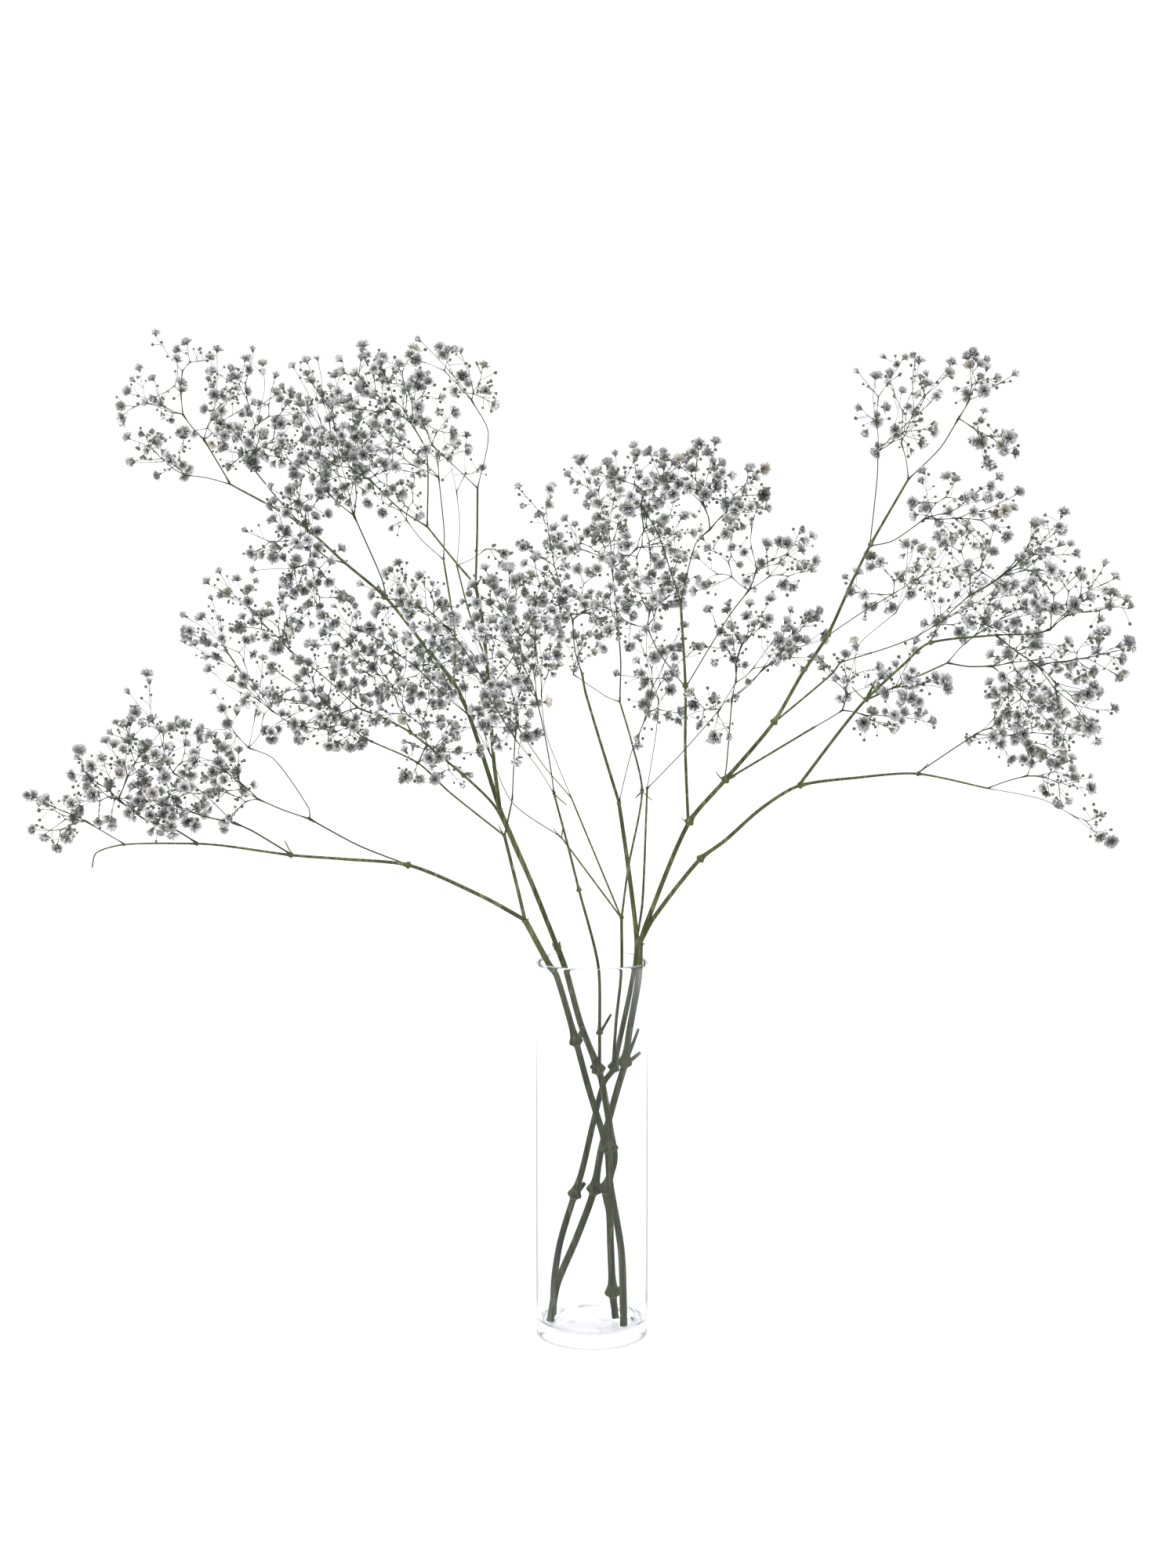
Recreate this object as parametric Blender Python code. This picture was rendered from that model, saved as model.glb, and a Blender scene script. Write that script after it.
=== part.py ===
"""Four cut gypsophila stems in a clear glass cylinder vase.

Sizes below are millimetres. X runs to the right as seen from the front, Y away from the viewer and Z up,
from the centre of the vase's underside.
"""

import math

import bmesh
import bpy
import numpy as np
from mathutils import Vector
from mathutils.bvhtree import BVHTree

MM = 0.001

# Vase
VASE_HEIGHT = 305
VASE_RADIUS = 45
VASE_WALL = 3.4
VASE_BASE = 10.5
HEEL_RADIUS = 7
FLOOR_RADIUS = 5
VASE_SIDES = 32

# Stems and twigs
THICK_STEM = 2.2
THIN_STEM = 1.15
KNUCKLE = 1.45
KNUCKLE_LENGTH = 1.3
TWIG_RADIUS = 0.42
TWIG_GROWTH = 0.06
FORK_RISE = 0.9
FORK_PLACE = 0.46
FOOT_HEIGHT = 20
LEAF_THICKNESS = 0.7
GAP = 0.3
BRANCH_RADIUS = 0.8
SEAT_REACH = 4
SEAT_STEP = 0.05
FIRST_FORK = 6

# Blooms
SHARE_OF_BLOOMS = 0.355
BLOOM_SPACING = 8.5
BLOOM_PETALS = 5
PETAL_REACH = 4.9
PETAL_NOTCH = 2.6
PETAL_RISE = (2.4, 3.7)
NOTCH_RISE = 3.0
BLOOM_HEIGHT = 4.6
BLOOM_ROOM = 4.6
SEED = 3310
MOST_ATTEMPTS = 400

# A direction that no stem or twig follows, from which cross directions are taken
SIDEWAYS = np.array((0.35, 0.25, 0.9))

# Routes of the stems: name, first and last radius, which points are knuckles, points
STEMS = {
    "stem_a": (
        ("a_main", 3.0, 2.3, (3, 6, 9), ((25, -18, 12), (23, -20, 73), (14, -23, 130), (12, -24, 156),
            (2, -22, 190), (-4, -20, 210), (-12, -18, 240), (-28, -14, 295), (-34, -18, 304),
            (-53, -16, 339))),
        ("a_left", 1.7, 0.5, (2, 4, 6, 7), ((-53, -16, 339), (-86, -25, 359), (-141, -45, 386),
            (-192, -60, 393), (-228, -70, 397), (-277, -78, 405), (-298, -80, 407), (-352, -85, 407),
            (-373, -88, 401), (-376, -90, 390))),
        ("a_up", 1.5, 1.3, (2,), ((-53, -16, 339), (-58, -6, 358), (-70, 10, 403))),
        ("a_up_l", 0.9, 0.7, (2,), ((-70, 10, 403), (-116, 30, 437), (-141, 40, 459), (-180, 60, 475))),
        ("a_up_r", 0.9, 0.7, (), ((-70, 10, 403), (-63, -10, 434))),
    ),
    "stem_b": (
        ("b_main", 3.0, 2.5, (1, 4, 8, 11), ((19, 0, 12), (17, -1, 30), (15, -3, 73), (14, -5, 100),
            (11, -6, 117), (18, -6, 144), (15, -6, 166), (11, -5, 190), (6, -4, 214), (-9, 11, 250),
            (-22, 24, 294), (-28, 26, 310))),
        ("b_thick", 2.0, 1.9, (2,), ((-28, 26, 310), (-48, 34, 359), (-75, 42, 421))),
        ("b_bundle", 1.5, 0.8, (4, 5, 6), ((-28, 26, 310), (-43, 46, 345), (-61, 58, 382), (-80, 72, 420),
            (-106, 82, 445), (-151, 95, 480), (-172, 102, 491), (-198, 110, 501))),
        ("b_upleft", 1.9, 0.8, (2, 4, 6, 7), ((-75, 42, 421), (-100, 50, 497), (-113, 56, 524),
            (-139, 66, 556), (-170, 80, 593), (-205, 92, 622), (-245, 106, 656), (-305, 122, 689))),
        ("b_up", 1.7, 1.3, (4,), ((-75, 42, 421), (-79, 22, 463), (-81, -10, 521), (-84, -34, 569),
            (-89, -48, 602))),
        ("b_up_top", 0.9, 0.8, (2,), ((-89, -48, 602), (-87, -60, 641), (-86, -70, 674))),
        ("b_up_left", 1.0, 0.8, (2,), ((-89, -48, 602), (-105, -40, 620), (-127, -30, 647))),
        ("b_five", 0.9, 0.8, (2,), ((-113, 56, 524), (-114, 90, 562), (-126, 130, 626))),
        ("b_side", 0.8, 0.7, (2,), ((-83, -22, 545), (-98, 10, 583), (-109, 40, 619))),
        ("b_three", 1.4, 0.8, (1, 3, 5), ((6, -4, 214), (6, -8, 246), (5, -10, 301), (-10, -30, 364),
            (-20, -50, 407), (-29, -70, 444))),
    ),
    "stem_c": (
        ("c_main", 3.0, 1.6, (3, 7, 12), ((-32, 8, 12), (-31, 9, 41), (-26, 11, 71), (-15, 13, 107),
            (-8, 15, 129), (2, 16, 172), (10, 15, 202), (17, 14, 212), (21, 13, 229), (34, 9, 293),
            (36, 12, 318), (30, 20, 371), (22, 40, 427))),
        ("c_thick", 1.3, 1.0, (2,), ((22, 40, 427), (-5, 80, 514), (-8, 85, 530))),
        ("c_four", 1.4, 1.2, (3,), ((17, 14, 212), (20, 19, 252), (24, 22, 289), (24, 26, 334))),
        ("c_four_l", 0.8, 0.7, (1,), ((24, 26, 334), (-25, 60, 396))),
        ("c_four_m", 0.8, 0.7, (), ((24, 26, 334), (-17, 70, 428))),
        ("c_four_r", 1.0, 0.8, (2, 4), ((24, 26, 334), (30, 50, 373), (42, 86, 432), (34, 110, 471),
            (24, 130, 505))),
        ("c_right", 1.1, 0.8, (2,), ((36, 12, 318), (40, -10, 353), (42, -60, 447))),
    ),
    "stem_d": (
        ("d_main", 3.0, 2.6, (3, 7, 10), ((-33, -8, 13), (-28, -6, 41), (-12, -2, 79), (1, 2, 114),
            (7, 4, 147), (13, 4, 171), (21, 2, 201), (26, 0, 219), (30, -2, 248), (37, -6, 292),
            (38, -8, 319))),
        ("d_mid", 2.0, 0.9, (2, 3, 4, 6, 8, 9), ((38, -8, 319), (43, -10, 335), (75, -30, 417),
            (102, -40, 451), (139, -45, 496), (161, -45, 534), (180, -45, 563), (200, -40, 606),
            (213, -38, 632), (240, -50, 682))),
        ("d_up", 1.2, 1.0, (2, 3), ((75, -30, 417), (71, -60, 478), (70, -80, 525), (65, -105, 589))),
        ("d_six", 0.9, 0.8, (1,), ((102, -40, 451), (167, -70, 494))),
        ("d_seven", 0.9, 0.8, (2,), ((139, -45, 496), (188, -10, 533), (196, 0, 542))),
        ("d_right", 1.9, 0.7, (2, 5, 7, 8), ((38, -8, 319), (48, -12, 339), (84, -20, 387), (104, -24, 403),
            (132, -30, 429), (160, -36, 447), (206, -30, 453), (255, -16, 455), (312, -10, 443))),
        ("d_far", 1.3, 0.8, (2, 4, 5), ((160, -36, 447), (187, -70, 491), (203, -95, 516), (228, -120, 544),
            (244, -130, 559), (290, -140, 565))),
        ("d_five", 0.8, 0.7, (1,), ((203, -95, 516), (270, -60, 543))),
    ),
}

# Cut side stubs: stem, foot, end, radius
STUBS = (
    ("stem_a", (12, -24, 156), (19, -30, 160), 1.9),
    ("stem_a", (-12, -18, 240), (-7, -24, 255), 1.5),
    ("stem_b", (17, -1, 30), (24, 2, 36), 1.6),
    ("stem_b", (6, -8, 246), (15, -12, 263), 0.9),
    ("stem_b", (6, -4, 214), (0, -13, 221), 1.8),
    ("stem_c", (-15, 13, 107), (-6, 20, 117), 1.5),
    ("stem_c", (17, 14, 212), (26, 21, 221), 1.6),
    ("stem_d", (1, 2, 114), (10, 6, 121), 1.5),
    ("stem_d", (26, 0, 219), (39, -2, 230), 1.3),
    ("stem_d", (26, 0, 219), (38, 4, 248), 1.2),
)

# Leaves left at the knuckles: stem, foot, tip, width
LEAVES = (
    ("stem_a", (-228, -70, 397), (-234, -66, 405), 3.2),
    ("stem_a", (-70, 10, 403), (-74, 3, 410), 2.4),
    ("stem_b", (-170, 80, 593), (-176, 76, 602), 3.0),
    ("stem_b", (-29, -70, 444), (-22, -76, 437), 3.0),
    ("stem_b", (-89, -48, 602), (-84, -55, 607), 2.4),
    ("stem_c", (-25, 60, 396), (-31, 54, 402), 2.6),
    ("stem_c", (-25, 60, 396), (-24, 66, 405), 2.4),
    ("stem_c", (42, 86, 432), (48, 80, 426), 2.8),
    ("stem_c", (42, 86, 432), (37, 92, 426), 2.8),
    ("stem_d", (102, -40, 451), (96, -45, 457), 2.8),
    ("stem_d", (102, -40, 451), (110, -36, 453), 2.6),
    ("stem_d", (203, -95, 516), (209, -100, 528), 4.2),
    ("stem_d", (203, -95, 516), (195, -90, 523), 3.4),
    ("stem_d", (255, -16, 455), (262, -21, 461), 2.8),
    ("stem_d", (75, -30, 417), (70, -36, 421), 2.4),
)

# Sprays: name, the route that each grows from, its thin branches, and the clouds of blooms that these carry.
# A second branch forks off the first at the point that both name. A cloud is the branch that feeds it, its
# centre, its half-sizes and how many blooms the real one holds.
SPRAYS = (
    ("spray_a1", "a_left", (
        ((-352, -85, 407), (-371, -95, 421), (-378, -98, 426)),
    ), (
        (0, (-397, -100, 430), (24, 30, 21), 11),
    )),
    ("spray_a2", "a_left", (
        ((-298, -80, 407), (-316, -88, 420), (-334, -92, 426), (-354, -96, 442)),
    ), (
        (0, (-367, -105, 451), (28, 35, 24), 16),
        (0, (-343, -85, 475), (26, 35, 25), 14),
    )),
    ("spray_a3", "a_left", (
        ((-228, -70, 397), (-258, -78, 417), (-271, -80, 423), (-293, -88, 429), (-311, -92, 437)),
        ((-271, -80, 423), (-297, -66, 445), (-321, -56, 459)),
    ), (
        (0, (-318, -96, 441), (28, 35, 23), 21),
        (1, (-325, -50, 477), (27, 35, 25), 10),
        (1, (-341, -40, 510), (24, 30, 23), 3),
    )),
    ("spray_a4", "a_left", (
        ((-141, -45, 386), (-216, -62, 424), (-254, -70, 440)),
        ((-216, -62, 424), (-218, -50, 431), (-248, -30, 468), (-268, -25, 476)),
    ), (
        (0, (-285, -72, 452), (28, 40, 30), 18),
        (1, (-282, -20, 499), (31, 40, 31), 8),
        (1, (-251, 0, 508), (31, 40, 37), 6),
    )),
    ("spray_a5", "a_up_l", (
        ((-180, 60, 475), (-197, 68, 485)),
    ), (
        (0, (-214, 72, 495), (36, 40, 32), 21),
        (0, (-238, 82, 523), (33, 40, 33), 9),
    )),
    ("spray_a6", "a_up_l", (
        ((-141, 40, 459), (-133, 30, 475)),
    ), (
        (0, (-123, 20, 466), (31, 35, 28), 15),
        (0, (-142, 30, 506), (32, 35, 28), 12),
    )),
    ("spray_a7", "a_up_r", (
        ((-63, -10, 434), (-60, -30, 482), (-58, -38, 506)),
    ), (
        (0, (-64, -30, 494), (27, 35, 29), 14),
        (0, (-45, -50, 540), (27, 40, 27), 4),
    )),
    ("spray_b1", "b_bundle", (
        ((-198, 110, 501), (-251, 120, 486), (-274, 128, 498)),
        ((-198, 110, 501), (-230, 120, 529), (-257, 125, 549)),
    ), (
        (0, (-305, 135, 528), (34, 40, 34), 7),
        (0, (-330, 135, 565), (28, 35, 28), 7),
        (1, (-280, 128, 575), (33, 40, 33), 11),
        (1, (-303, 125, 598), (30, 35, 20), 3),
    )),
    ("spray_b2", "b_bundle", (
        ((-151, 95, 480), (-163, 100, 504), (-168, 103, 520)),
    ), (
        (0, (-188, 105, 536), (33, 40, 33), 14),
        (0, (-225, 112, 562), (33, 40, 33), 7),
        (0, (-155, 110, 536), (30, 40, 33), 8),
    )),
    ("spray_b3", "b_upleft", (
        ((-305, 122, 689), (-344, 126, 697)),
        ((-305, 122, 689), (-312, 120, 702), (-326, 118, 726)),
    ), (
        (0, (-367, 126, 717), (30, 30, 21), 9),
        (1, (-371, 112, 755), (30, 35, 30), 8),
        (1, (-341, 105, 793), (36, 35, 25), 5),
        (1, (-318, 130, 750), (34, 35, 32), 16),
    )),
    ("spray_b4", "b_upleft", (
        ((-245, 106, 656), (-266, 98, 681), (-286, 92, 707)),
    ), (
        (0, (-294, 85, 723), (26, 30, 26), 9),
        (0, (-281, 80, 774), (29, 35, 25), 7),
        (0, (-262, 95, 734), (30, 35, 30), 13),
    )),
    ("spray_b5", "b_upleft", (
        ((-205, 92, 622), (-219, 70, 627), (-230, 60, 639)),
    ), (
        (0, (-238, 50, 667), (27, 35, 24), 14),
        (0, (-230, 45, 623), (27, 35, 27), 15),
        (0, (-261, 55, 636), (19, 30, 27), 6),
        (0, (-223, 50, 588), (31, 35, 24), 6),
    )),
    ("spray_b6", "b_upleft", (
        ((-170, 80, 593), (-173, 78, 608), (-194, 62, 660)),
        ((-194, 62, 660), (-213, 52, 677)),
    ), (
        (1, (-233, 42, 707), (27, 35, 27), 13),
        (0, (-199, 52, 727), (32, 35, 32), 15),
        (0, (-220, 42, 757), (29, 35, 29), 13),
    )),
    ("spray_b7", "b_up_top", (
        ((-86, -70, 674), (-105, -78, 692), (-119, -82, 705)),
        ((-86, -70, 674), (-77, -85, 714), (-89, -90, 737)),
    ), (
        (0, (-122, -85, 726), (26, 35, 26), 7),
        (1, (-94, -95, 748), (28, 35, 26), 8),
        (1, (-112, -95, 771), (29, 30, 16), 4),
    )),
    ("spray_b8", "b_up_left", (
        ((-127, -30, 647), (-127, -32, 703), (-138, -32, 725)),
        ((-127, -30, 647), (-149, -20, 661), (-174, -8, 685)),
    ), (
        (0, (-141, -32, 755), (30, 35, 30), 13),
        (0, (-169, -20, 750), (31, 35, 31), 14),
        (1, (-194, 0, 698), (31, 35, 28), 17),
        (1, (-161, -20, 697), (28, 35, 28), 8),
    )),
    ("spray_b9", "b_five", (
        ((-126, 130, 626), (-159, 150, 660)),
        ((-126, 130, 626), (-126, 140, 649), (-132, 162, 697)),
    ), (
        (0, (-169, 160, 676), (31, 35, 26), 7),
        (1, (-139, 172, 727), (34, 35, 33), 7),
        (1, (-183, 172, 734), (33, 35, 33), 11),
    )),
    ("spray_b10", "b_side", (
        ((-109, 40, 619), (-107, 50, 650), (-110, 60, 679)),
        ((-109, 40, 619), (-86, 45, 632)),
    ), (
        (0, (-106, 68, 719), (29, 35, 29), 3),
        (1, (-73, 50, 633), (26, 35, 22), 3),
    )),
    ("spray_b11", "b_three", (
        ((-29, -70, 444), (-57, -100, 487)),
        ((-29, -70, 444), (-31, -85, 463), (-36, -105, 495), (-41, -120, 519)),
    ), (
        (0, (-69, -112, 519), (28, 40, 28), 8),
        (1, (-37, -130, 542), (26, 40, 26), 4),
        (1, (-60, -140, 565), (28, 40, 25), 10),
    )),
    ("spray_b12", "b_up", (
        ((-81, -10, 521), (-62, -45, 545), (-54, -62, 563)),
        ((-81, -10, 521), (-95, -52, 549), (-108, -75, 569)),
    ), (
        (0, (-69, -50, 594), (29, 40, 27), 15),
        (0, (-39, -60, 591), (27, 40, 29), 9),
        (1, (-118, -80, 576), (28, 40, 27), 14),
        (1, (-143, -90, 599), (28, 40, 23), 9),
    )),
    ("spray_b13", "b_upleft", (
        ((-100, 50, 497), (-122, 20, 519), (-140, 5, 539)),
    ), (
        (0, (-158, 0, 557), (31, 40, 28), 9),
        (0, (-120, -10, 539), (28, 40, 28), 7),
        (0, (-189, 5, 576), (28, 40, 28), 3),
    )),
    ("spray_c1", "c_thick", (
        ((-8, 85, 530), (-14, 90, 549), (-16, 100, 575)),
    ), (
        (0, (-23, 108, 592), (28, 40, 30), 8),
        (0, (-36, 115, 635), (25, 35, 28), 9),
        (0, (-41, 112, 674), (23, 30, 20), 3),
        (0, (10, 95, 588), (32, 40, 32), 10),
    )),
    ("spray_c2", "c_main", (
        ((22, 40, 427), (32, 30, 469), (44, 18, 499)),
    ), (
        (0, (48, 14, 504), (21, 30, 25), 7),
        (0, (59, 0, 548), (28, 35, 28), 9),
    )),
    ("spray_c3", "c_right", (
        ((42, -60, 447), (67, -85, 476), (94, -110, 510)),
        ((42, -60, 447), (48, -90, 494), (49, -102, 517)),
    ), (
        (0, (86, -115, 510), (22, 35, 26), 8),
        (0, (113, -130, 551), (24, 35, 23), 5),
        (1, (40, -112, 542), (22, 35, 26), 5),
    )),
    ("spray_c4", "c_four_l", (
        ((-25, 60, 396), (-67, 95, 422), (-87, 120, 462)),
    ), (
        (0, (-101, 140, 501), (32, 40, 34), 8),
        (0, (-132, 150, 528), (31, 40, 31), 6),
    )),
    ("spray_c5", "c_four_m", (
        ((-17, 70, 428), (-63, 112, 485)),
        ((-17, 70, 428), (-39, 108, 480), (-43, 125, 511)),
    ), (
        (0, (-81, 150, 528), (33, 40, 33), 7),
        (1, (-49, 160, 558), (33, 40, 33), 7),
        (0, (-109, 170, 551), (33, 40, 31), 10),
    )),
    ("spray_c6", "c_four_r", (
        ((24, 130, 505), (13, 135, 509), (-16, 150, 528)),
        ((24, 130, 505), (25, 150, 541), (22, 170, 579), (18, 190, 620)),
    ), (
        (1, (0, 200, 644), (33, 40, 33), 15),
        (1, (32, 210, 682), (36, 40, 32), 9),
        (1, (7, 205, 706), (34, 35, 20), 5),
        (1, (67, 215, 652), (34, 40, 34), 13),
        (0, (-24, 170, 561), (31, 40, 31), 6),
    )),
    ("spray_d1", "d_up", (
        ((65, -105, 589), (58, -115, 608), (48, -125, 637), (35, -130, 658)),
        ((65, -105, 589), (75, -120, 631), (85, -125, 641)),
    ), (
        (0, (17, -130, 669), (27, 40, 24), 7),
        (0, (47, -150, 679), (27, 40, 24), 8),
        (1, (68, -165, 683), (27, 40, 23), 13),
        (1, (107, -135, 666), (27, 40, 26), 13),
        (0, (34, -125, 624), (27, 40, 24), 11),
    )),
    ("spray_d2", "d_up", (
        ((70, -80, 525), (104, -62, 579), (119, -56, 598)),
        ((70, -80, 525), (50, -60, 552), (42, -50, 570)),
    ), (
        (0, (122, -50, 635), (29, 40, 29), 9),
        (0, (150, -40, 624), (24, 35, 24), 6),
        (0, (97, -30, 618), (27, 40, 27), 4),
        (1, (24, -40, 576), (29, 40, 27), 10),
        (1, (51, -50, 600), (29, 40, 27), 17),
    )),
    ("spray_d3", "d_mid", (
        ((102, -40, 451), (104, -36, 461), (110, -10, 514)),
    ), (
        (0, (110, 20, 563), (28, 35, 25), 8),
        (0, (137, 10, 569), (26, 35, 25), 9),
        (0, (166, 20, 563), (24, 35, 21), 10),
    )),
    ("spray_d4", "d_six", (
        ((167, -70, 494), (193, -40, 506)),
    ), (
        (0, (233, -40, 494), (29, 30, 18), 7),
        (0, (203, -30, 539), (26, 35, 24), 10),
    )),
    ("spray_d5", "d_mid", (
        ((213, -38, 632), (221, -18, 687), (222, -12, 706)),
    ), (
        (0, (229, -5, 752), (26, 35, 30), 6),
        (0, (241, -10, 724), (25, 35, 23), 8),
    )),
    ("spray_d6", "d_mid", (
        ((213, -38, 632), (226, -72, 635), (245, -98, 650)),
    ), (
        (0, (255, -105, 662), (28, 40, 24), 9),
        (0, (285, -115, 656), (26, 40, 28), 10),
    )),
    ("spray_d7", "d_mid", (
        ((240, -50, 682), (234, -52, 709)),
        ((240, -50, 682), (263, -55, 705), (276, -58, 727)),
    ), (
        (0, (250, -60, 758), (29, 35, 20), 7),
        (1, (290, -62, 752), (25, 35, 25), 8),
        (1, (301, -66, 711), (19, 30, 25), 7),
    )),
    ("spray_d8", "d_mid", (
        ((180, -45, 563), (211, -10, 581), (241, 25, 596)),
    ), (
        (0, (250, 40, 616), (31, 40, 27), 7),
        (0, (298, 62, 630), (31, 40, 29), 6),
        (0, (224, 15, 600), (25, 35, 24), 5),
    )),
    ("spray_d9", "d_seven", (
        ((196, 0, 542), (236, 20, 553), (261, 28, 562)),
        ((196, 0, 542), (247, 50, 581)),
    ), (
        (0, (295, 60, 585), (31, 40, 24), 9),
        (0, (337, 95, 611), (32, 40, 30), 10),
        (1, (279, 100, 615), (30, 40, 26), 7),
    )),
    ("spray_d10", "d_far", (
        ((244, -130, 559), (268, -160, 594)),
    ), (
        (0, (289, -170, 623), (27, 40, 27), 8),
        (0, (315, -180, 628), (21, 35, 25), 9),
        (0, (262, -165, 620), (22, 35, 22), 5),
    )),
    ("spray_d11", "d_far", (
        ((290, -140, 565), (318, -142, 566), (329, -142, 569)),
        ((290, -140, 565), (319, -150, 543)),
    ), (
        (0, (363, -145, 592), (25, 35, 23), 12),
        (0, (332, -150, 596), (22, 35, 22), 12),
        (1, (361, -152, 548), (24, 35, 27), 15),
        (1, (346, -158, 509), (25, 35, 25), 11),
    )),
    ("spray_d12", "d_five", (
        ((270, -60, 543), (308, -40, 540)),
        ((270, -60, 543), (294, -45, 564)),
    ), (
        (0, (340, -30, 546), (29, 40, 27), 16),
        (1, (319, -40, 579), (29, 40, 27), 15),
        (0, (339, -25, 512), (27, 35, 24), 9),
    )),
    ("spray_d13", "d_far", (
        ((203, -95, 516), (218, -100, 524)),
    ), (
        (0, (239, -110, 530), (24, 35, 22), 12),
    )),
    ("spray_d14", "d_right", (
        ((255, -16, 455), (287, 5, 473), (308, 20, 484)),
    ), (
        (0, (349, 55, 515), (29, 40, 29), 11),
        (0, (377, 60, 482), (29, 40, 29), 10),
        (0, (329, 30, 478), (24, 35, 24), 5),
    )),
    ("spray_d15", "d_right", (
        ((312, -10, 443), (356, -10, 434), (382, -10, 420)),
        ((312, -10, 443), (345, 0, 452)),
    ), (
        (1, (380, 4, 445), (30, 35, 17), 7),
        (0, (400, -12, 408), (16, 30, 23), 3),
        (1, (361, 15, 472), (25, 35, 24), 7),
    )),
)


def clear_scene():
    for thing in list(bpy.data.objects):
        bpy.data.objects.remove(thing)


def material(name, colour, roughness, transmission=0.0):
    made = bpy.data.materials.new(name)
    made.use_nodes = True
    made.diffuse_color = (*colour, 1.0)
    shader = made.node_tree.nodes["Principled BSDF"]
    shader.inputs["Base Color"].default_value = (*colour, 1.0)
    shader.inputs["Roughness"].default_value = roughness
    shader.inputs["Metallic"].default_value = 0.0
    shader.inputs["Transmission Weight"].default_value = transmission
    return made


def mesh_object(name, points, faces, finish, smooth=False):
    mesh = bpy.data.meshes.new(name)
    mesh.from_pydata([tuple(c * MM for c in point) for point in points], [], faces)
    mesh.validate()
    mesh.materials.append(finish)
    for polygon in mesh.polygons:
        polygon.use_smooth = smooth
    made = bpy.data.objects.new(name, mesh)
    bpy.context.scene.collection.objects.link(made)
    return made


def unit(vector):
    return vector / max(np.linalg.norm(vector), 1e-9)


# Vase


def arc(centre, radius, start, end, steps):
    """Points of a round corner in the vase's profile, angles in degrees."""
    angles = np.radians(np.linspace(start, end, steps + 1))
    return [(centre[0] + radius * math.cos(a), centre[1] + radius * math.sin(a)) for a in angles]


def vase_profile():
    """Half section of the glass as (radius, height), from the underside's rim round to the inner floor."""
    inner = VASE_RADIUS - VASE_WALL
    lip = VASE_WALL / 2
    outside = arc((VASE_RADIUS - HEEL_RADIUS, HEEL_RADIUS), HEEL_RADIUS, -90, 0, 3)
    rim = arc((VASE_RADIUS - lip, VASE_HEIGHT - lip), lip, 0, 180, 3)
    floor = arc((inner - FLOOR_RADIUS, VASE_BASE + FLOOR_RADIUS), FLOOR_RADIUS, 0, -90, 2)
    return outside + rim + floor


def build_vase():
    glass = material("clear_glass", (0.93, 0.94, 0.97), 0.03, 1.0)
    profile = vase_profile()
    rings = len(profile)
    points = []
    for radius, height in profile:
        for k in range(VASE_SIDES):
            turn = 2 * math.pi * k / VASE_SIDES
            points.append((radius * math.cos(turn), radius * math.sin(turn), height))
    faces = []
    for i in range(rings - 1):
        for k in range(VASE_SIDES):
            near, far = i * VASE_SIDES + k, i * VASE_SIDES + (k + 1) % VASE_SIDES
            faces.append((near, far, far + VASE_SIDES, near + VASE_SIDES))
    under, floor = len(points), len(points) + 1
    points += [(0, 0, 0), (0, 0, VASE_BASE)]
    last = (rings - 1) * VASE_SIDES
    for k in range(VASE_SIDES):
        after = (k + 1) % VASE_SIDES
        faces.append((under, after, k))
        faces.append((floor, last + k, last + after))
    return mesh_object("vase", points, faces, glass, smooth=True)


# Stems


def ring_points(centre, along, side, radius, sides):
    """A ring of points round a centre, square to along, and its first direction."""
    side = unit(side - along * side.dot(along))
    up = np.cross(along, side)
    turns = [2 * math.pi * k / sides for k in range(sides)]
    return [centre + radius * (math.cos(t) * side + math.sin(t) * up) for t in turns], side


def rod(name, stations, sides, finish):
    """A closed round rod through stations of (point, radius)."""
    centres = [np.array(point, float) for point, _ in stations]
    side = np.cross(centres[1] - centres[0], SIDEWAYS)
    points = []
    for i, centre in enumerate(centres):
        before, after = centres[max(i - 1, 0)], centres[min(i + 1, len(centres) - 1)]
        ring, side = ring_points(centre, unit(after - before), side, stations[i][1], sides)
        points += ring
    faces = [tuple(reversed(range(sides)))]
    for i in range(len(stations) - 1):
        for k in range(sides):
            near, far = i * sides + k, i * sides + (k + 1) % sides
            faces.append((near, far, far + sides, near + sides))
    faces.append(tuple(range(len(points) - sides, len(points))))
    return mesh_object(name, points, faces, finish)


def sides_of(radius):
    return 6 if radius > THICK_STEM else 5 if radius > THIN_STEM else 4


def on_floor(foot, after, radius):
    """The foot moved along its stem until its lowest edge stands just over the vase's floor."""
    along = unit(after - foot)
    lowest = foot[2] - radius * math.hypot(along[0], along[1])
    return foot + along * (VASE_BASE + GAP - lowest) / along[2]


def stations_of(first, last, knots, route):
    """Points and radii along a stem, with a swelling at each knuckle."""
    route = [np.array(point, float) for point in route]
    if route[0][2] < FOOT_HEIGHT:
        route[0] = on_floor(route[0], route[1], first)
    steps = len(route) - 1
    stations = []
    for i, point in enumerate(route):
        radius = first + (last - first) * i / steps
        if i not in knots:
            stations.append((point, radius))
            continue
        reach = KNUCKLE_LENGTH * radius + 1
        if radius > THIN_STEM and i > 0:
            stations.append((point - reach * unit(point - route[i - 1]), radius))
        stations.append((point, radius * KNUCKLE))
        if radius > THIN_STEM and i < steps:
            stations.append((point + reach * unit(route[i + 1] - point), radius))
    return stations


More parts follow.
